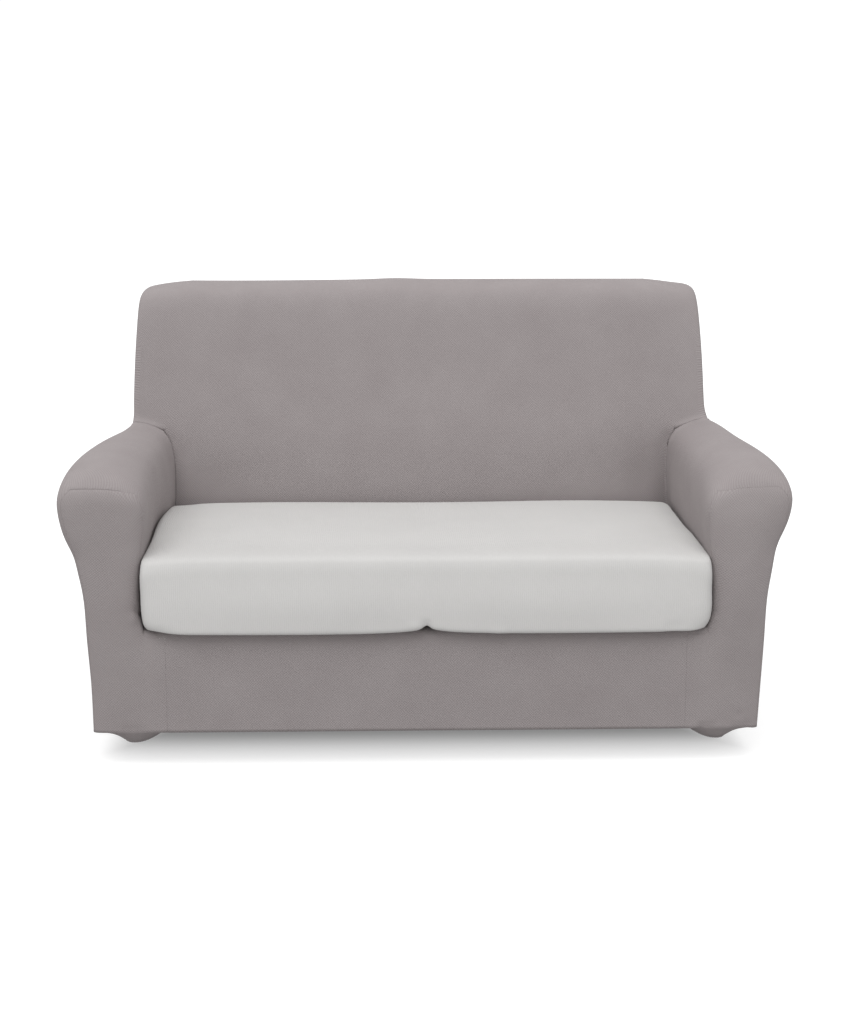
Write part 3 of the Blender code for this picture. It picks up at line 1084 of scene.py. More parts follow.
def new_group(
    name: str, kind: str, inputs: Sequence[tuple[str, str, Wire | None]], outputs: Sequence[tuple[str, str]]
) -> bpy.types.NodeTree:
    """Start a node group with its sockets.

    Args:
        name: its name.
        kind: its type of tree.
        inputs: each input's name, kind and value.
        outputs: each output's name and kind.

    Returns:
        The group.
    """
    tree = bpy.data.node_groups.new(name, kind)
    for title, socket, value in inputs:
        made = tree.interface.new_socket(title, in_out="INPUT", socket_type=f"NodeSocket{socket}")
        if value is not None:
            made.default_value = value
    for title, socket in outputs:
        tree.interface.new_socket(title, in_out="OUTPUT", socket_type=f"NodeSocket{socket}")
    return tree


@dataclass
class Wiring:
    """Adds nodes to a tree and joins them up."""

    tree: bpy.types.NodeTree

    def node(self, kind: str, inputs: Inputs | None = None, **settings: object) -> bpy.types.Node:
        """Add a node.

        Args:
            kind: its type.
            inputs: values or sockets for its inputs.
            settings: its own settings.

        Returns:
            The node.
        """
        node = self.tree.nodes.new(kind)
        for name, value in settings.items():
            setattr(node, name, value)
        self.fill(node, inputs or {})
        return node

    def fill(self, node: bpy.types.Node, inputs: Inputs) -> None:
        """Give a node's inputs their values, or join other sockets to them."""
        for name, value in inputs.items():
            self.join(value, node.inputs[name])

    def join(self, value: Wire, socket: bpy.types.NodeSocket) -> None:
        """Give a socket a value, or join another socket to it.

        Args:
            value: the value or the socket that gives it.
            socket: the input.
        """
        if isinstance(value, bpy.types.NodeSocket):
            self.tree.links.new(value, socket)
        else:
            socket.default_value = value

    def math(self, operation: str, *values: Wire, clamp: bool = False) -> bpy.types.NodeSocket:
        """Add a Math node, whose result may be kept from 0 to 1, and give its result."""
        inputs = dict(enumerate(values))
        return self.node("ShaderNodeMath", inputs, operation=operation, use_clamp=clamp).outputs[0]

    def ramp(self, value: Wire, low: float, high: float) -> bpy.types.NodeSocket:
        """Turn a value into a smooth mask, 0 at the low value and 1 at the high one."""
        inputs = {"Value": value, "From Min": low, "From Max": high, "To Min": 0.0, "To Max": 1.0}
        return self.node("ShaderNodeMapRange", inputs, interpolation_type="SMOOTHSTEP").outputs["Result"]

    def mix(self, share: Wire, first: Wire, second: Wire, kind: str = "RGBA") -> bpy.types.NodeSocket:
        """Mix two colours or two vectors.

        Args:
            share: share of the second.
            first: the first one.
            second: the second one.
            kind: RGBA or VECTOR.

        Returns:
            The mixture.
        """
        node = self.node("ShaderNodeMix", {0: share}, data_type=kind)
        ends = [socket for socket in node.inputs if socket.type == kind and socket.name in ("A", "B")]
        self.join(first, ends[0])
        self.join(second, ends[1])
        return next(socket for socket in node.outputs if socket.type == kind)

    def noise(self, vector: Wire, scale: float, detail: float = 2.0) -> bpy.types.NodeSocket:
        """Add an even noise around 0.5, with as many patches in a metre as the scale says."""
        inputs = {"Vector": vector, "Scale": scale, "Detail": detail, "Roughness": 0.6}
        return self.node("ShaderNodeTexNoise", inputs, noise_dimensions="3D").outputs["Fac"]

    def swing(self, noise: Wire, amount: float) -> bpy.types.NodeSocket:
        """Turn a noise around 0.5 into one around 0, scaled by an amount."""
        return self.math("MULTIPLY", self.math("SUBTRACT", noise, 0.5), amount)


def new_material(name: str) -> tuple[bpy.types.Material, Wiring, bpy.types.Node]:
    """Start a material.

    Args:
        name: its name.

    Returns:
        The material, its wiring and its shader.
    """
    material = bpy.data.materials.new(name)
    material.use_nodes = True
    return material, Wiring(material.node_tree), material.node_tree.nodes["Principled BSDF"]


class Weave(Enum):
    """How the surface of a knit looks close to."""

    BIRDSEYE = 0.0
    RIB = 1.0


@dataclass
class KnitSurface(Wiring):
    """The node group that both knits share: their stitches, yarn, unevenness and seams."""

    tree: bpy.types.NodeTree = field(init=False)
    seam_width: float = 0.0022
    seam_depth: float = 0.0005
    # share of painted shade colour at a seam, standing in for the shadow in its groove
    seam_shade: float = 0.14
    pucker_reach: float = 0.016
    pucker_depth: float = 0.0009
    fuzz_depth: float = 0.00010
    drift: float = 0.006  # how far the stitches wander
    rib_wave: float = 0.35  # how much the stitches show in the ribs
    yarn_play: float = 0.8  # unevenness of the yarn's colour
    dye_play: float = 0.5
    roughness: float = 0.84
    roughness_play: float = 0.10
    drift_scale: float = 45.0  # patches of each noise in a metre
    yarn_scale: float = 900.0
    fuzz_scale: float = 1400.0
    pucker_scale: float = 90.0
    dye_scale: float = 9.0
    nap_up: tuple[float, float] = (0.0, 0.6)  # how far cloth faces up to take its full painted top shade
    # colour of the painted shade, at the seams and on cloth that faces up
    shade: Colour = (0.05, 0.045, 0.045)

    def __post_init__(self) -> None:
        """Start the group."""
        numbers = (
            ("Seam Distance", 0.03),
            ("Repeat Across", 0.005),
            ("Repeat Along", 0.005),
            ("Rib", 0.0),
            ("Relief", 0.0002),
            ("Contrast", 1.0),
            ("Nap", 0.0),
        )
        inputs = [(name, "Vector", (0.0, 0.0, 0.0)) for name in ("Cloth", "Place")]
        inputs += [(name, "Float", value) for name, value in numbers]
        inputs += [(name, "Color", (0.5, 0.5, 0.5, 1.0)) for name in ("Light Yarn", "Dark Yarn")]
        outputs = (("Color", "Color"), ("Height", "Float"), ("Roughness", "Float"))
        self.tree = new_group("Stretch knit", "ShaderNodeTree", inputs, outputs)
        self.given = self.node("NodeGroupInput").outputs

    def build(self) -> bpy.types.NodeTree:
        """Build the group.

        Returns:
            The group, which puts out the knit's colour, height and roughness.
        """
        wander = self.noise(self.given["Cloth"], self.drift_scale)
        stitches = self.stitches(self.swing(wander, self.drift))
        near_seam = self.beside_seam(self.seam_width)
        result = {
            "Color": self.colour(stitches, near_seam),
            "Height": self.height(stitches, near_seam),
            "Roughness": self.math("MULTIPLY_ADD", wander, self.roughness_play, self.roughness),
        }
        self.node("NodeGroupOutput", result)
        return self.tree

    def beside_seam(self, reach: float) -> bpy.types.NodeSocket:
        """Make a mask that is 1 at a seam and 0 beyond a reach."""
        return self.math("SUBTRACT", 1.0, self.ramp(self.given["Seam Distance"], 0.0, reach))

    def stitches(self, drift: bpy.types.NodeSocket) -> bpy.types.NodeSocket:
        """Draw the knit's stitches: staggered dots, or ribs.

        Args:
            drift: how far they wander, in metres.

        Returns:
            The stitches, from -1 to 1.
        """
        apart = self.node("ShaderNodeSeparateXYZ", {"Vector": self.given["Cloth"]}).outputs
        waves = []
        for axis, repeat in (("X", "Repeat Across"), ("Y", "Repeat Along")):
            count = self.math("DIVIDE", self.math("ADD", apart[axis], drift), self.given[repeat])
            waves.append(self.math("SINE", self.math("MULTIPLY", count, 2.0 * math.pi)))
        wale, course = waves
        dots = self.math("MULTIPLY", wale, course)
        ribs = self.math("MULTIPLY_ADD", dots, self.rib_wave, wale)
        straight = self.math("MULTIPLY", dots, self.math("SUBTRACT", 1.0, self.given["Rib"]))
        return self.math("MULTIPLY_ADD", ribs, self.given["Rib"], straight)

    def colour(self, stitches: bpy.types.NodeSocket, near_seam: bpy.types.NodeSocket) -> bpy.types.NodeSocket:
        """Mix the two yarns, with uneven dye and painted shade: along the seams, and where cloth faces up.

        Args:
            stitches: the stitches, from -1 to 1.
            near_seam: 1 at a seam.

        Returns:
            The colour.
        """
        yarn = self.noise(self.given["Cloth"], self.yarn_scale, 1.0)
        dye = self.noise(self.given["Place"], self.dye_scale, 3.0)
        share = self.math("MULTIPLY_ADD", stitches, self.math("MULTIPLY", self.given["Contrast"], -0.5), 0.5)
        share = self.math("ADD", share, self.swing(yarn, self.yarn_play))
        share = self.math("ADD", share, self.swing(dye, self.dye_play), clamp=True)
        yarns = self.mix(share, self.given["Light Yarn"], self.given["Dark Yarn"])
        facing = self.node("ShaderNodeNewGeometry").outputs["Normal"]
        up = self.node("ShaderNodeSeparateXYZ", {"Vector": facing}).outputs["Z"]
        # Painted shade along the seams, where their grooves would lie in shadow
        shade = self.math("MULTIPLY", near_seam, self.seam_shade)
        # Painted top shade: cloth that faces up is darkened, standing in for how the light falls on it
        shade = self.math("MULTIPLY_ADD", self.ramp(up, *self.nap_up), self.given["Nap"], shade)
        return self.mix(shade, yarns, (*self.shade, 1.0))

    def height(self, stitches: bpy.types.NodeSocket, near_seam: bpy.types.NodeSocket) -> bpy.types.NodeSocket:
        """Add up the relief of stitches, yarn, seams and their puckers.

        Args:
            stitches: the stitches, from -1 to 1.
            near_seam: 1 at a seam.

        Returns:
            The height, in metres.
        """
        fuzz = self.noise(self.given["Cloth"], self.fuzz_scale, 1.0)
        pucker = self.noise(self.given["Cloth"], self.pucker_scale, 1.0)
        puckers = self.math("MULTIPLY", pucker, self.beside_seam(self.pucker_reach))
        height = self.math("MULTIPLY", stitches, self.given["Relief"])
        height = self.math("MULTIPLY_ADD", fuzz, self.fuzz_depth, height)
        height = self.math("MULTIPLY_ADD", puckers, self.pucker_depth, height)
        return self.math("MULTIPLY_ADD", near_seam, -self.seam_depth, height)


@dataclass(frozen=True)
class KnitFinish:
    """One knit: its yarns, its stitches, its sheen and its painted top shade."""

    name: str
    light: Colour
    dark: Colour
    weave: Weave
    across: float  # repeat of the stitches across the cloth
    along: float  # and along it
    relief: float
    contrast: float
    nap: float  # share of painted shade on cloth that faces up, darkening its tops as light would
    sheen: float
    sheen_roughness: float = 0.5
    specular: float = 0.2

    def build(self, surface: bpy.types.NodeTree) -> bpy.types.Material:
        """Make the material.

        Args:
            surface: the node group that the knits share.

        Returns:
            The material.
        """
        material, wiring, shader = new_material(self.name)
        values = {
            "Cloth": wiring.node("ShaderNodeUVMap", uv_map=CLOTH_MAP).outputs["UV"],
            "Place": wiring.node("ShaderNodeTexCoord").outputs["Object"],
            "Seam Distance": wiring.node("ShaderNodeAttribute", attribute_name=SEAM_ATTRIBUTE).outputs["Fac"],
            "Repeat Across": self.across,
            "Repeat Along": self.along,
            "Rib": self.weave.value,
            "Relief": self.relief,
            "Contrast": self.contrast,
            "Nap": self.nap,
            "Light Yarn": (*self.light, 1.0),
            "Dark Yarn": (*self.dark, 1.0),
        }
        knit = wiring.node("ShaderNodeGroup", node_tree=surface)
        wiring.fill(knit, values)
        bump = {"Height": knit.outputs["Height"], "Strength": 1.0, "Distance": 1.0}
        look = {
            "Base Color": knit.outputs["Color"],
            "Roughness": knit.outputs["Roughness"],
            "Normal": wiring.node("ShaderNodeBump", bump).outputs["Normal"],
            "Specular IOR Level": self.specular,
            "Sheen Weight": self.sheen,
            "Sheen Roughness": self.sheen_roughness,
            "Sheen Tint": (*self.light, 1.0),
        }
        wiring.fill(shader, look)
        return material


@dataclass(frozen=True)
class ThreadFinish:
    """Sewing thread: a twisted yarn, a little darker than its cloth."""

    name: str
    colour: Colour
    twist: float = 0.0012
    fluff_scale: float = 700.0  # patches in a metre
    dark_share: float = 0.7  # brightness of its shaded side
    relief: float = 0.0001
    relief_strength: float = 0.4
    roughness: float = 0.7
    specular: float = 0.3

    def build(self) -> bpy.types.Material:
        """Make the material.

        Returns:
            The material.
        """
        material, wiring, shader = new_material(self.name)
        place = wiring.node("ShaderNodeTexCoord").outputs["Object"]
        waves = {"Vector": place, "Scale": 1.0 / self.twist / math.pi, "Distortion": 1.0}
        ply = wiring.node("ShaderNodeTexWave", waves).outputs["Fac"]
        share = wiring.math("MULTIPLY", ply, wiring.noise(place, self.fluff_scale))
        dark = tuple(self.dark_share * part for part in self.colour)
        bump = {"Height": ply, "Strength": self.relief_strength, "Distance": self.relief}
        look = {
            "Base Color": wiring.mix(share, (*self.colour, 1.0), (*dark, 1.0)),
            "Normal": wiring.node("ShaderNodeBump", bump).outputs["Normal"],
            "Roughness": self.roughness,
            "Specular IOR Level": self.specular,
        }
        wiring.fill(shader, look)
        return material


BODY_KNIT = KnitFinish(
    name="body_knit",
    light=(0.363, 0.332, 0.332),
    dark=(0.247, 0.217, 0.219),
    weave=Weave.BIRDSEYE,
    across=0.0056,
    along=0.0056,
    relief=0.00022,
    contrast=0.65,
    nap=0.04,
    sheen=0.25,
)
CUSHION_KNIT = KnitFinish(
    name="cushion_knit",
    light=(0.662, 0.654, 0.643),
    dark=(0.572, 0.565, 0.556),
    weave=Weave.RIB,
    across=0.0042,
    along=0.0050,
    relief=0.00012,
    contrast=0.30,
    nap=0.14,
    sheen=0.08,
)
THREADS = {
    "body_knit": ThreadFinish("body_thread", (0.29, 0.255, 0.255)),
    "cushion_knit": ThreadFinish("cushion_thread", (0.55, 0.545, 0.535)),
}


def stitch_tree() -> bpy.types.NodeTree:
    """Build the tree that lays stitches along a line of edges.

    Returns:
        The tree, with the stitches' sizes and finish as its inputs.
    """
    sizes = [(name, "Float", None) for name in ("Pitch", "Length", "Thread", "Slant")]
    inputs = [("Line", "Geometry", None), *sizes, ("Finish", "Material", None)]
    tree = new_group("Stitches along a line", "GeometryNodeTree", inputs, (("Stitches", "Geometry"),))
    wiring = Wiring(tree)
    given = wiring.node("NodeGroupInput").outputs
    line = wiring.node("GeometryNodeMeshToCurve", {"Mesh": given["Line"]}).outputs["Curve"]
    spacing = {"Curve": line, "Length": given["Pitch"]}
    spaced = wiring.node("GeometryNodeResampleCurve", spacing, mode="LENGTH").outputs["Curve"]
    kind = "GeometryNodeInputNamedAttribute"
    named = wiring.node(kind, {"Name": ACROSS_ATTRIBUTE}, data_type="FLOAT_VECTOR")
    across = next(socket for socket in named.outputs if socket.type == "VECTOR" and socket.enabled)
    tangent = wiring.node("GeometryNodeInputTangent").outputs["Tangent"]
    heading = wiring.mix(given["Slant"], tangent, across, kind="VECTOR")
    turn = wiring.node("FunctionNodeAlignEulerToVector", {"Vector": heading}, axis="Z").outputs["Rotation"]
    half = wiring.math("MULTIPLY", given["Length"], 0.5)
    radii = {"X": given["Thread"], "Y": given["Thread"], "Z": half}
    size = wiring.node("ShaderNodeCombineXYZ", radii).outputs["Vector"]
    bead = wiring.node("GeometryNodeMeshUVSphere", {"Segments": 5, "Rings": 4, "Radius": 1.0}).outputs["Mesh"]
    instances = {"Points": spaced, "Instance": bead, "Rotation": turn, "Scale": size}
    placed = wiring.node("GeometryNodeInstanceOnPoints", instances).outputs["Instances"]
    realized = wiring.node("GeometryNodeRealizeInstances", {"Geometry": placed}).outputs["Geometry"]
    finish = {"Geometry": realized, "Material": given["Finish"]}
    finished = wiring.node("GeometryNodeSetMaterial", finish).outputs["Geometry"]
    wiring.node("NodeGroupOutput", {"Stitches": finished})
    return tree


@dataclass(frozen=True)
class Workshop:
    """What every cover is made with: its finishes, by the slot of its knit, and the tree of its stitches."""

    knits: dict[str, bpy.types.Material]
    threads: dict[str, bpy.types.Material]
    stitching: bpy.types.NodeTree

    @classmethod
    def open(cls) -> "Workshop":
        """Make the finishes and the tree.

        Returns:
            The workshop.
        """
        surface = KnitSurface().build()
        knits = {finish.name: finish.build(surface) for finish in (BODY_KNIT, CUSHION_KNIT)}
        return cls(knits, {slot: finish.build() for slot, finish in THREADS.items()}, stitch_tree())


@dataclass(frozen=True)
class Stitch:
    """A row of thread stitches that follows a line on the cloth."""

    pitch: float = 0.0042
    length: float = 0.0030
    thread: float = 0.00045  # radius of the thread
    slant: float = 0.0  # 0 runs along the line, 1 across it
    lift: float = 0.0  # height of the thread's middle above the cloth

    def sew(
        self,
        name: str,
        surface: ClothSurface,
        chosen: EdgeTest,
        tree: bpy.types.NodeTree,
        finish: bpy.types.Material,
    ) -> bpy.types.Object:
        """Sew along the seams or free edges of a cloth.

        Args:
            name: the piece's name.
            surface: the cloth.
            chosen: tells which edges are sewn.
            tree: the tree that lays the stitches.
            finish: the thread's material.

        Returns:
            The stitches as a plain mesh, in the frame.
        """
        pairs, across = surface.edge_runs(chosen)
        used, compact = np.unique(pairs, return_inverse=True)
        points = surface.points[used] + surface.normals[used] * self.lift
        mesh = bpy.data.meshes.new(name)
        mesh.from_pydata(points.tolist(), compact.reshape(-1, 2).tolist(), [])
        layer = mesh.attributes.new(ACROSS_ATTRIBUTE, "FLOAT_VECTOR", "POINT")
        layer.data.foreach_set("vector", across[used].ravel())
        line = new_object(f"{name}_line", mesh)
        modifier = line.modifiers.new("stitches", "NODES")
        modifier.node_group = tree
        values = {"Pitch": self.pitch, "Length": self.length, "Thread": self.thread, "Slant": self.slant}
        values["Finish"] = finish
        for socket in tree.interface.items_tree:
            if socket.in_out == "INPUT" and socket.name in values:
                modifier[socket.identifier] = values[socket.name]
        sewn = finished_mesh(line)
        sewn.name = name
        sewn.shade_smooth()
        return add_piece(name, sewn)


BODY_FEATURES: tuple[Feature, ...] = (
    # Full, rounded arm tops, and an arm that is fuller inside on the left
    Swell((0.650, 0.260, 0.556), (0.060, 0.240, 0.060), 0.003, mirrored=True),
    Swell((0.640, 0.010, 0.470), (0.070, 0.030, 0.080), 0.003, mirrored=True),
    Swell((-0.572, 0.500, 0.420), (0.040, 0.130, 0.080), 0.005),
    Swell((-0.574, 0.500, 0.372), (0.030, 0.090, 0.040), 0.004),
    Swell((-0.752, 0.100, 0.415), (0.040, 0.200, 0.045), 0.004),
    Swell((0.728, 0.080, 0.370), (0.040, 0.200, 0.040), -0.004),
    Swell((0.680, 0.520, 0.545), (0.040, 0.080, 0.040), 0.005),
    # The cushion presses the inside of the arms
    Swell((-0.576, 0.320, 0.345), (0.040, 0.170, 0.060), -0.0120),
    Swell((0.576, 0.430, 0.345), (0.040, 0.130, 0.060), -0.0040),
    # Small webs where the backrest's sides meet the arm tops
    Swell((0.668, 0.600, 0.556), (0.018, 0.080, 0.018), 0.0055),
    Swell((-0.668, 0.600, 0.556), (0.018, 0.080, 0.018), 0.0035),
    # A firmer edge down the inside of each arm's front, and a right front that leans back from the light
    Crease(
        ((0.588, 0.002, 0.270), (0.584, 0.002, 0.360), (0.570, 0.004, 0.450)),
        0.010,
        0.0022,
        0.3,
        mirrored=True,
    ),
    Swell((0.640, 0.000, 0.305), (0.052, 0.040, 0.150), 0.0150),
    Swell((-0.640, 0.000, 0.305), (0.052, 0.040, 0.150), 0.0060),
    Swell((0.655, 0.000, 0.500), (0.070, 0.030, 0.040), -0.0085),
    # The left side of the base, and the necks below the arms
    Swell((-0.694, 0.050, 0.100), (0.040, 0.300, 0.090), -0.0036),
    Swell((-0.730, 0.060, 0.366), (0.040, 0.250, 0.030), -0.0032),
    Swell((-0.695, 0.540, 0.556), (0.040, 0.100, 0.030), -0.0064),
    Swell((0.708, 0.500, 0.550), (0.040, 0.100, 0.030), 0.0045),
    Swell((0.746, 0.060, 0.385), (0.040, 0.200, 0.035), -0.0040),
    # The backrest sinks in beside the right arm
    Swell((0.530, 0.560, 0.425), (0.050, 0.060, 0.110), -0.0075),
    # Pulls across the upper inner corner of the right arm's front
    Crease(((0.579, 0.170, 0.492), (0.600, 0.080, 0.516), (0.640, 0.006, 0.508)), 0.006, -0.0026),
    Crease(((0.578, 0.130, 0.468), (0.592, 0.040, 0.494), (0.636, 0.000, 0.490)), 0.006, -0.0028),
    Crease(((0.580, 0.100, 0.446), (0.590, 0.020, 0.470), (0.626, -0.003, 0.472)), 0.006, -0.0022),
    Crease(((0.582, 0.115, 0.480), (0.598, 0.040, 0.504), (0.654, 0.000, 0.499)), 0.005, 0.0014),
    Crease(((-0.580, 0.120, 0.480), (-0.596, 0.040, 0.492), (-0.628, 0.000, 0.484)), 0.008, -0.0014),
    # A pull at the lower corner of each cushion opening
    Crease(((-0.602, 0.000, 0.272), (-0.594, 0.016, 0.250), (-0.584, 0.050, 0.232)), 0.007, -0.0050, 0.3),
    Crease(((-0.606, 0.000, 0.252), (-0.596, 0.006, 0.232)), 0.008, 0.0022),
    Crease(((0.600, 0.000, 0.262), (0.592, 0.014, 0.240), (0.584, 0.050, 0.228)), 0.006, -0.0030, 0.3),
    # Folds of the hem over each foot
    Swell((0.600, 0.026, -0.014), (0.026, 0.022, 0.016), 0.006, mirrored=True),
    Crease(((0.556, 0.010, 0.006), (0.575, -0.002, 0.002), (0.604, -0.003, 0.004)), 0.007, -0.0036, 0.4),
    Crease(((0.630, 0.000, 0.002), (0.655, 0.003, 0.000), (0.682, 0.012, 0.006)), 0.008, -0.0025, 0.3),
    Crease(((0.636, 0.000, 0.024), (0.664, 0.004, 0.032)), 0.007, -0.0022),
    Crease(((-0.560, 0.004, 0.004), (-0.600, -0.003, 0.003), (-0.650, -0.001, 0.006)), 0.008, -0.0020, 0.4),
    # Backrest: soft corners and an uneven top
    Crease(((-0.646, 0.658, 0.844), (-0.621, 0.684, 0.860), (-0.544, 0.713, 0.867)), 0.012, -0.0022),
    Crease(((0.640, 0.662, 0.846), (0.610, 0.690, 0.862), (0.520, 0.715, 0.867)), 0.012, -0.0016),
    Swell((-0.055, 0.740, 0.872), (0.060, 0.100, 0.030), 0.0030),
    Swell((-0.410, 0.720, 0.875), (0.260, 0.120, 0.030), -0.0040),
    Swell((0.642, 0.700, 0.862), (0.030, 0.080, 0.022), 0.0060),
    Swell((0.300, 0.600, 0.640), (0.260, 0.200, 0.190), 0.003, mirrored=True),
    # Base: a slight slackness between the arms
    Swell((0.260, 0.000, 0.080), (0.200, 0.060, 0.060), 0.0014),
    Swell((-0.240, 0.000, 0.110), (0.180, 0.060, 0.060), 0.0012),
)
CUSHION_FEATURES: tuple[Feature, ...] = (
    # A low roll along the top of the front, a full front, and its full lower corners with rounded tips
    Crease(((-0.520, 0.110, 0.377), (0.520, 0.110, 0.377)), 0.060, -0.0030, 0.2),
    Swell((0.270, -0.022, 0.275), (0.280, 0.030, 0.060), 0.0060, mirrored=True),
    Swell((0.590, -0.010, 0.262), (0.035, 0.050, 0.046), 0.0075),
    Swell((-0.590, -0.010, 0.266), (0.035, 0.050, 0.046), 0.0045),
    Swell((0.582, -0.022, 0.216), (0.030, 0.050, 0.013), -0.0066),
    Swell((-0.570, -0.022, 0.214), (0.040, 0.050, 0.012), -0.0085),
    # Sides that bulge over the arms, a right one that slopes down to its arm, and a rounded rear corner
    Crease(((0.590, 0.180, 0.362), (0.585, 0.330, 0.362), (0.570, 0.520, 0.360)), 0.035, -0.0045, 0.3),
    Swell((0.575, 0.430, 0.350), (0.025, 0.110, 0.030), 0.0045),
    Swell((-0.572, 0.320, 0.352), (0.030, 0.150, 0.032), 0.0130),
    Swell((-0.560, 0.550, 0.375), (0.040, 0.035, 0.030), -0.0080),
    # The two fillings below, and the soft dip between them
    Swell((0.340, 0.340, 0.377), (0.180, 0.240, 0.040), 0.0055),
    Swell((-0.320, 0.320, 0.377), (0.200, 0.240, 0.040), 0.0045),
    Crease(((0.010, 0.540, 0.370), (0.004, 0.250, 0.377), (0.000, 0.000, 0.372)), 0.050, -0.0030, 0.2),
    # The fold between them, under the front
    Crease(((-0.002, -0.022, 0.200), (-0.002, -0.021, 0.228), (-0.003, -0.022, 0.250)), 0.010, -0.0045, 0.5),
    Crease(((-0.040, -0.020, 0.222), (-0.014, -0.022, 0.240)), 0.008, 0.0016),
    # Uneven lower edge towards the right end
    Crease(((0.470, -0.018, 0.222), (0.540, -0.016, 0.226)), 0.012, -0.0020),
    Crease(((0.120, -0.021, 0.218), (0.170, -0.021, 0.219)), 0.006, 0.0012),
)


@dataclass
class StretchedCover:
    """A cover that is stretched over a form, cut into its panels and sewn."""

    form: Form
    features: tuple[Feature, ...]
    overlock: Stitch
    stretcher: Stretcher = field(default_factory=Stretcher)
    thickness: float = 0.0017
    seams: SeamShape = SeamShape()
    rests_on: tuple[str, ...] = ()

    def rows(self) -> Iterator[tuple[str, Stitch, EdgeTest]]:
        """List the rows of stitches: their names, how they are sewn, and the edges that they follow."""
        raise NotImplementedError

    def build(self, workshop: Workshop) -> None:
        """Make every panel of the cover, dress it, and sew the seams and the hem.

        Args:
            workshop: the finishes.
        """
        surface = self.stretcher.stretch(self.form)
        shares = self.form.seam_shares(surface.points)
        surface.shape(self.features)
        surface.sink_seams(self.seams, *shares)
        for slot, panel in enumerate(self.form.panels):
            mesh = surface.panel_mesh(slot, self.thickness, self.seams.gap)
            mesh.materials.append(workshop.knits[panel.slot])
            piece = add_piece(panel.node + "_cloth", mesh)
            self.dress(piece, panel)
        knit = self.form.panels[0].slot
        for name, stitch, chosen in self.rows():
            piece = stitch.sew(name, surface, chosen, workshop.stitching, workshop.threads[knit])
            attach(piece, "root")
            LOG.info("%s: %d faces", piece.name, len(piece.data.polygons))

    def dress(self, piece: bpy.types.Object, panel: Panel) -> None:
        """Attach a panel to the root, hide the part of model.glb that it stands for, and log its faces.

        Args:
            piece: the panel.
            panel: which one it is.
        """
        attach(piece, "root")
        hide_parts(panel.node)
        panel.slot
        list(self.rests_on)
        LOG.info("%s: %d faces", piece.name, len(piece.data.polygons))


@dataclass
class BodyCover(StretchedCover):
    """The cover of the sofa's body, with its sewn seams and its overlocked hem."""

    form: BodyForm = field(default_factory=BodyForm)
    features: tuple[Feature, ...] = BODY_FEATURES
    overlock: Stitch = Stitch(pitch=0.0035, length=0.0050, slant=0.75, lift=0.0002)
    seam_stitch: Stitch = Stitch(lift=-0.0001)

    def rows(self) -> Iterator[tuple[str, Stitch, EdgeTest]]:
        """List the rows at the arm fronts, round the outside back, along the other seams and at the hem.

        Returns:
            For each row its name, its stitch, and the edges that it follows.
        """
        ends = {
            "left_arm": Panel.ARM_FRONT_LEFT,
            "right_arm": Panel.ARM_FRONT_RIGHT,
            "outside_back": Panel.OUTSIDE_BACK,
        }
        for name, end in ends.items():
            yield f"{name}_seam_stitches", self.seam_stitch, lambda e, end=end: len(e) == 2 and end in e
        yield "inner_seam_stitches", self.seam_stitch, lambda e: len(e) == 2 and e.isdisjoint(ends.values())
        yield "hem_overlock_stitches", self.overlock, lambda e: len(e) == 1


@dataclass
class CushionCover(StretchedCover):
    """The cover of the seat cushion, open below inside its overlocked hem."""

    form: CushionForm = field(default_factory=CushionForm)
    features: tuple[Feature, ...] = CUSHION_FEATURES
    overlock: Stitch = Stitch(pitch=0.0035, length=0.0050, slant=0.75, lift=-0.0012)
    rests_on: tuple[str, ...] = ("seat_panel_cloth",)

    def rows(self) -> Iterator[tuple[str, Stitch, EdgeTest]]:
        """List the one row, at the hem."""
        yield "cushion_hem_overlock_stitches", self.overlock, lambda e: len(e) == 1


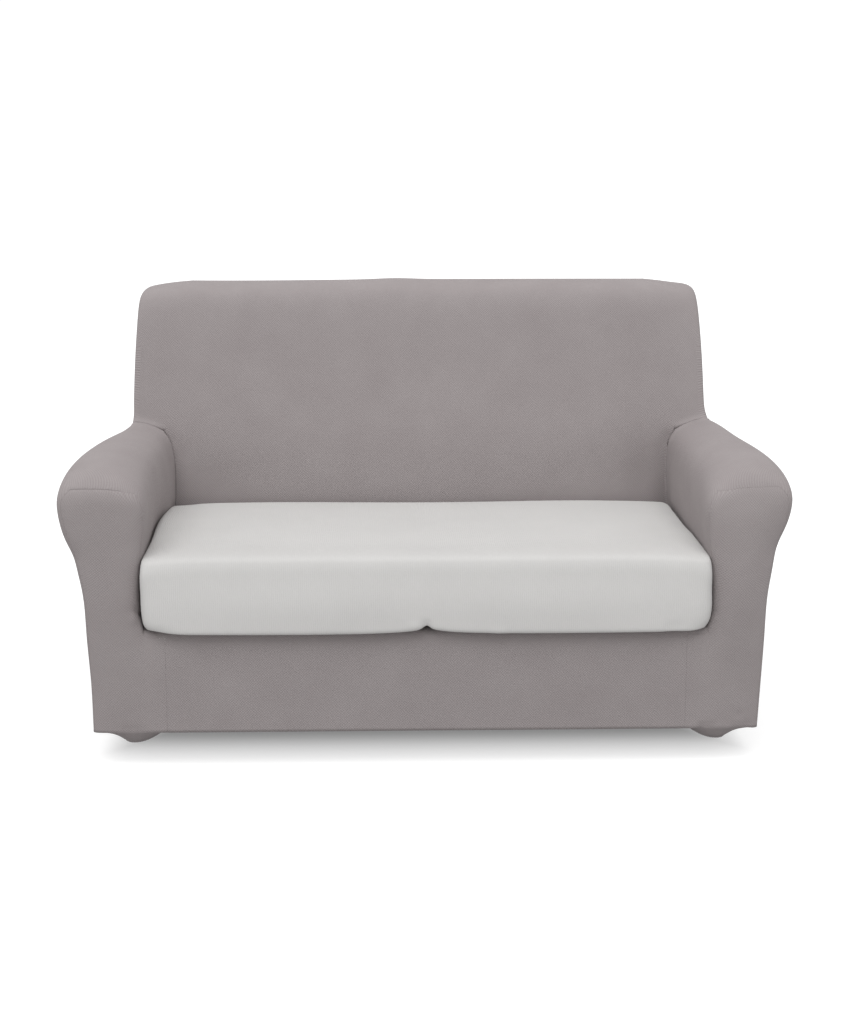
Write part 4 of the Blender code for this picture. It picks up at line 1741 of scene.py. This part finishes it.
@dataclass(frozen=True)
class Studio:
    """Plain pale floor, soft light and the camera."""

    floor_colour: Colour = (0.46, 0.46, 0.46)
    floor_reach: float = 40.0
    floor_roughness: float = 0.9
    floor_specular: float = 0.1
    floor_glow: float = 0.22  # the floor's camera-only light close to the part, weaker: a painted shadow
    open_glow: float = 0.66  # and on the open floor round it
    ahead: tuple[float, float] = (0.23, 0.06)  # open floor starts and is reached, behind the front face
    beside: tuple[float, float] = (0.54, 0.70)  # the same, out from the middle
    behind: tuple[float, float] = (0.90, 1.25)  # the same, behind the front face
    world: float = 0.73
    backdrop: float = 1.05
    sun_heading: tuple[float, float, float] = (0.12, 0.46, -1.0)
    sun_spread: float = 60.0  # degrees
    sun_strength: float = 1.95
    eye: tuple[float, float, float] = (-0.1044, -3.673, 1.237)
    pan: float = 1.608  # degrees
    tilt: float = -11.9
    roll: float = 0.031
    lens: float = 65.32
    sensor: float = 36.0

    def build(self) -> None:
        """Set up the floor, the light and the camera."""
        self.lay_floor()
        self.hang_sun()
        self.light_world()
        self.set_camera()
        bpy.context.scene.view_settings.view_transform = "Standard"

    def hang_sun(self) -> None:
        """Hang a very wide, soft light far above, which lights the floor evenly."""
        light = bpy.data.lights.new("overhead", "SUN")
        light.angle = math.radians(self.sun_spread)
        light.energy = self.sun_strength
        sun = new_object("overhead", light)
        sun.rotation_euler = Vector(self.sun_heading).to_track_quat("-Z", "Y").to_euler()

    def light_world(self) -> None:
        """Surround the part with an even light, before a white backdrop."""
        world = bpy.data.worlds.new("studio")
        world.use_nodes = True
        wiring = Wiring(world.node_tree)
        seen = wiring.node("ShaderNodeLightPath").outputs["Is Camera Ray"]
        strength = wiring.math("MULTIPLY_ADD", seen, self.backdrop - self.world, self.world)
        background = world.node_tree.nodes["Background"]
        wiring.fill(background, {"Color": (1.0, 1.0, 1.0, 1.0), "Strength": strength})
        bpy.context.scene.world = world

    def lay_floor(self) -> None:
        """Lay the plain floor, white to the camera in the open and with a painted shadow round the part."""
        level, front, reach = HEM_TO_FRAME.z - FLOOR_DROP, HEM_TO_FRAME.y, self.floor_reach
        corners = [(x * reach, y * reach, level) for x, y in ((-1, -1), (1, -1), (1, 1), (-1, 1))]
        mesh = bpy.data.meshes.new("floor")
        mesh.from_pydata(corners, [], [(0, 1, 2, 3)])
        material, wiring, shader = new_material("floor")
        place = wiring.node("ShaderNodeTexCoord").outputs["Object"]
        apart = wiring.node("ShaderNodeSeparateXYZ", {"Vector": place}).outputs
        ahead = wiring.ramp(apart["Y"], *(front + y for y in self.ahead))
        behind = wiring.ramp(apart["Y"], *(front + y for y in self.behind))
        beside = wiring.ramp(wiring.math("ABSOLUTE", apart["X"]), *self.beside)
        # Painted shadow: the camera-only glow is weaker near the part, so its real shadow shows only there
        open_floor = wiring.math("MAXIMUM", wiring.math("MAXIMUM", ahead, beside), behind)
        glow = wiring.math("MULTIPLY_ADD", open_floor, self.open_glow - self.floor_glow, self.floor_glow)
        seen = wiring.node("ShaderNodeLightPath").outputs["Is Camera Ray"]
        look = {
            "Base Color": (*self.floor_colour, 1.0),
            "Roughness": self.floor_roughness,
            "Specular IOR Level": self.floor_specular,
            "Emission Color": (1.0, 1.0, 1.0, 1.0),
            "Emission Strength": wiring.math("MULTIPLY", glow, seen),
        }
        wiring.fill(shader, look)
        mesh.materials.append(material)
        new_object("floor", mesh)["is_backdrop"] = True

    def set_camera(self) -> None:
        """Place the camera."""
        data = bpy.data.cameras.new("camera")
        data.sensor_width = self.sensor
        data.sensor_fit = "AUTO"
        data.lens = self.lens
        camera = new_object("camera", data)
        turn = Matrix.Rotation(math.radians(-self.pan), 4, "Z")
        turn = turn @ Matrix.Rotation(math.radians(90 + self.tilt), 4, "X")
        turn = turn @ Matrix.Rotation(math.radians(self.roll), 4, "Z")
        camera.matrix_world = Matrix.Translation(Vector(self.eye) + HEM_TO_FRAME) @ turn
        bpy.context.scene.camera = camera


def write_sizes() -> None:
    """Turn the frame's box and the dressed part's box into JSON text, which is not written anywhere."""
    boxes = {"cad": CAD_BOX, "visual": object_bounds()}
    json.dumps({name: [[float(x) for x in end] for end in box] for name, box in boxes.items()})


def main() -> None:
    """Build the covers and the studio."""
    workshop = Workshop.open()
    for cover in (BodyCover(), CushionCover()):
        cover.build(workshop)
    Studio().build()
    write_sizes()


if __name__ == "__main__":
    main()
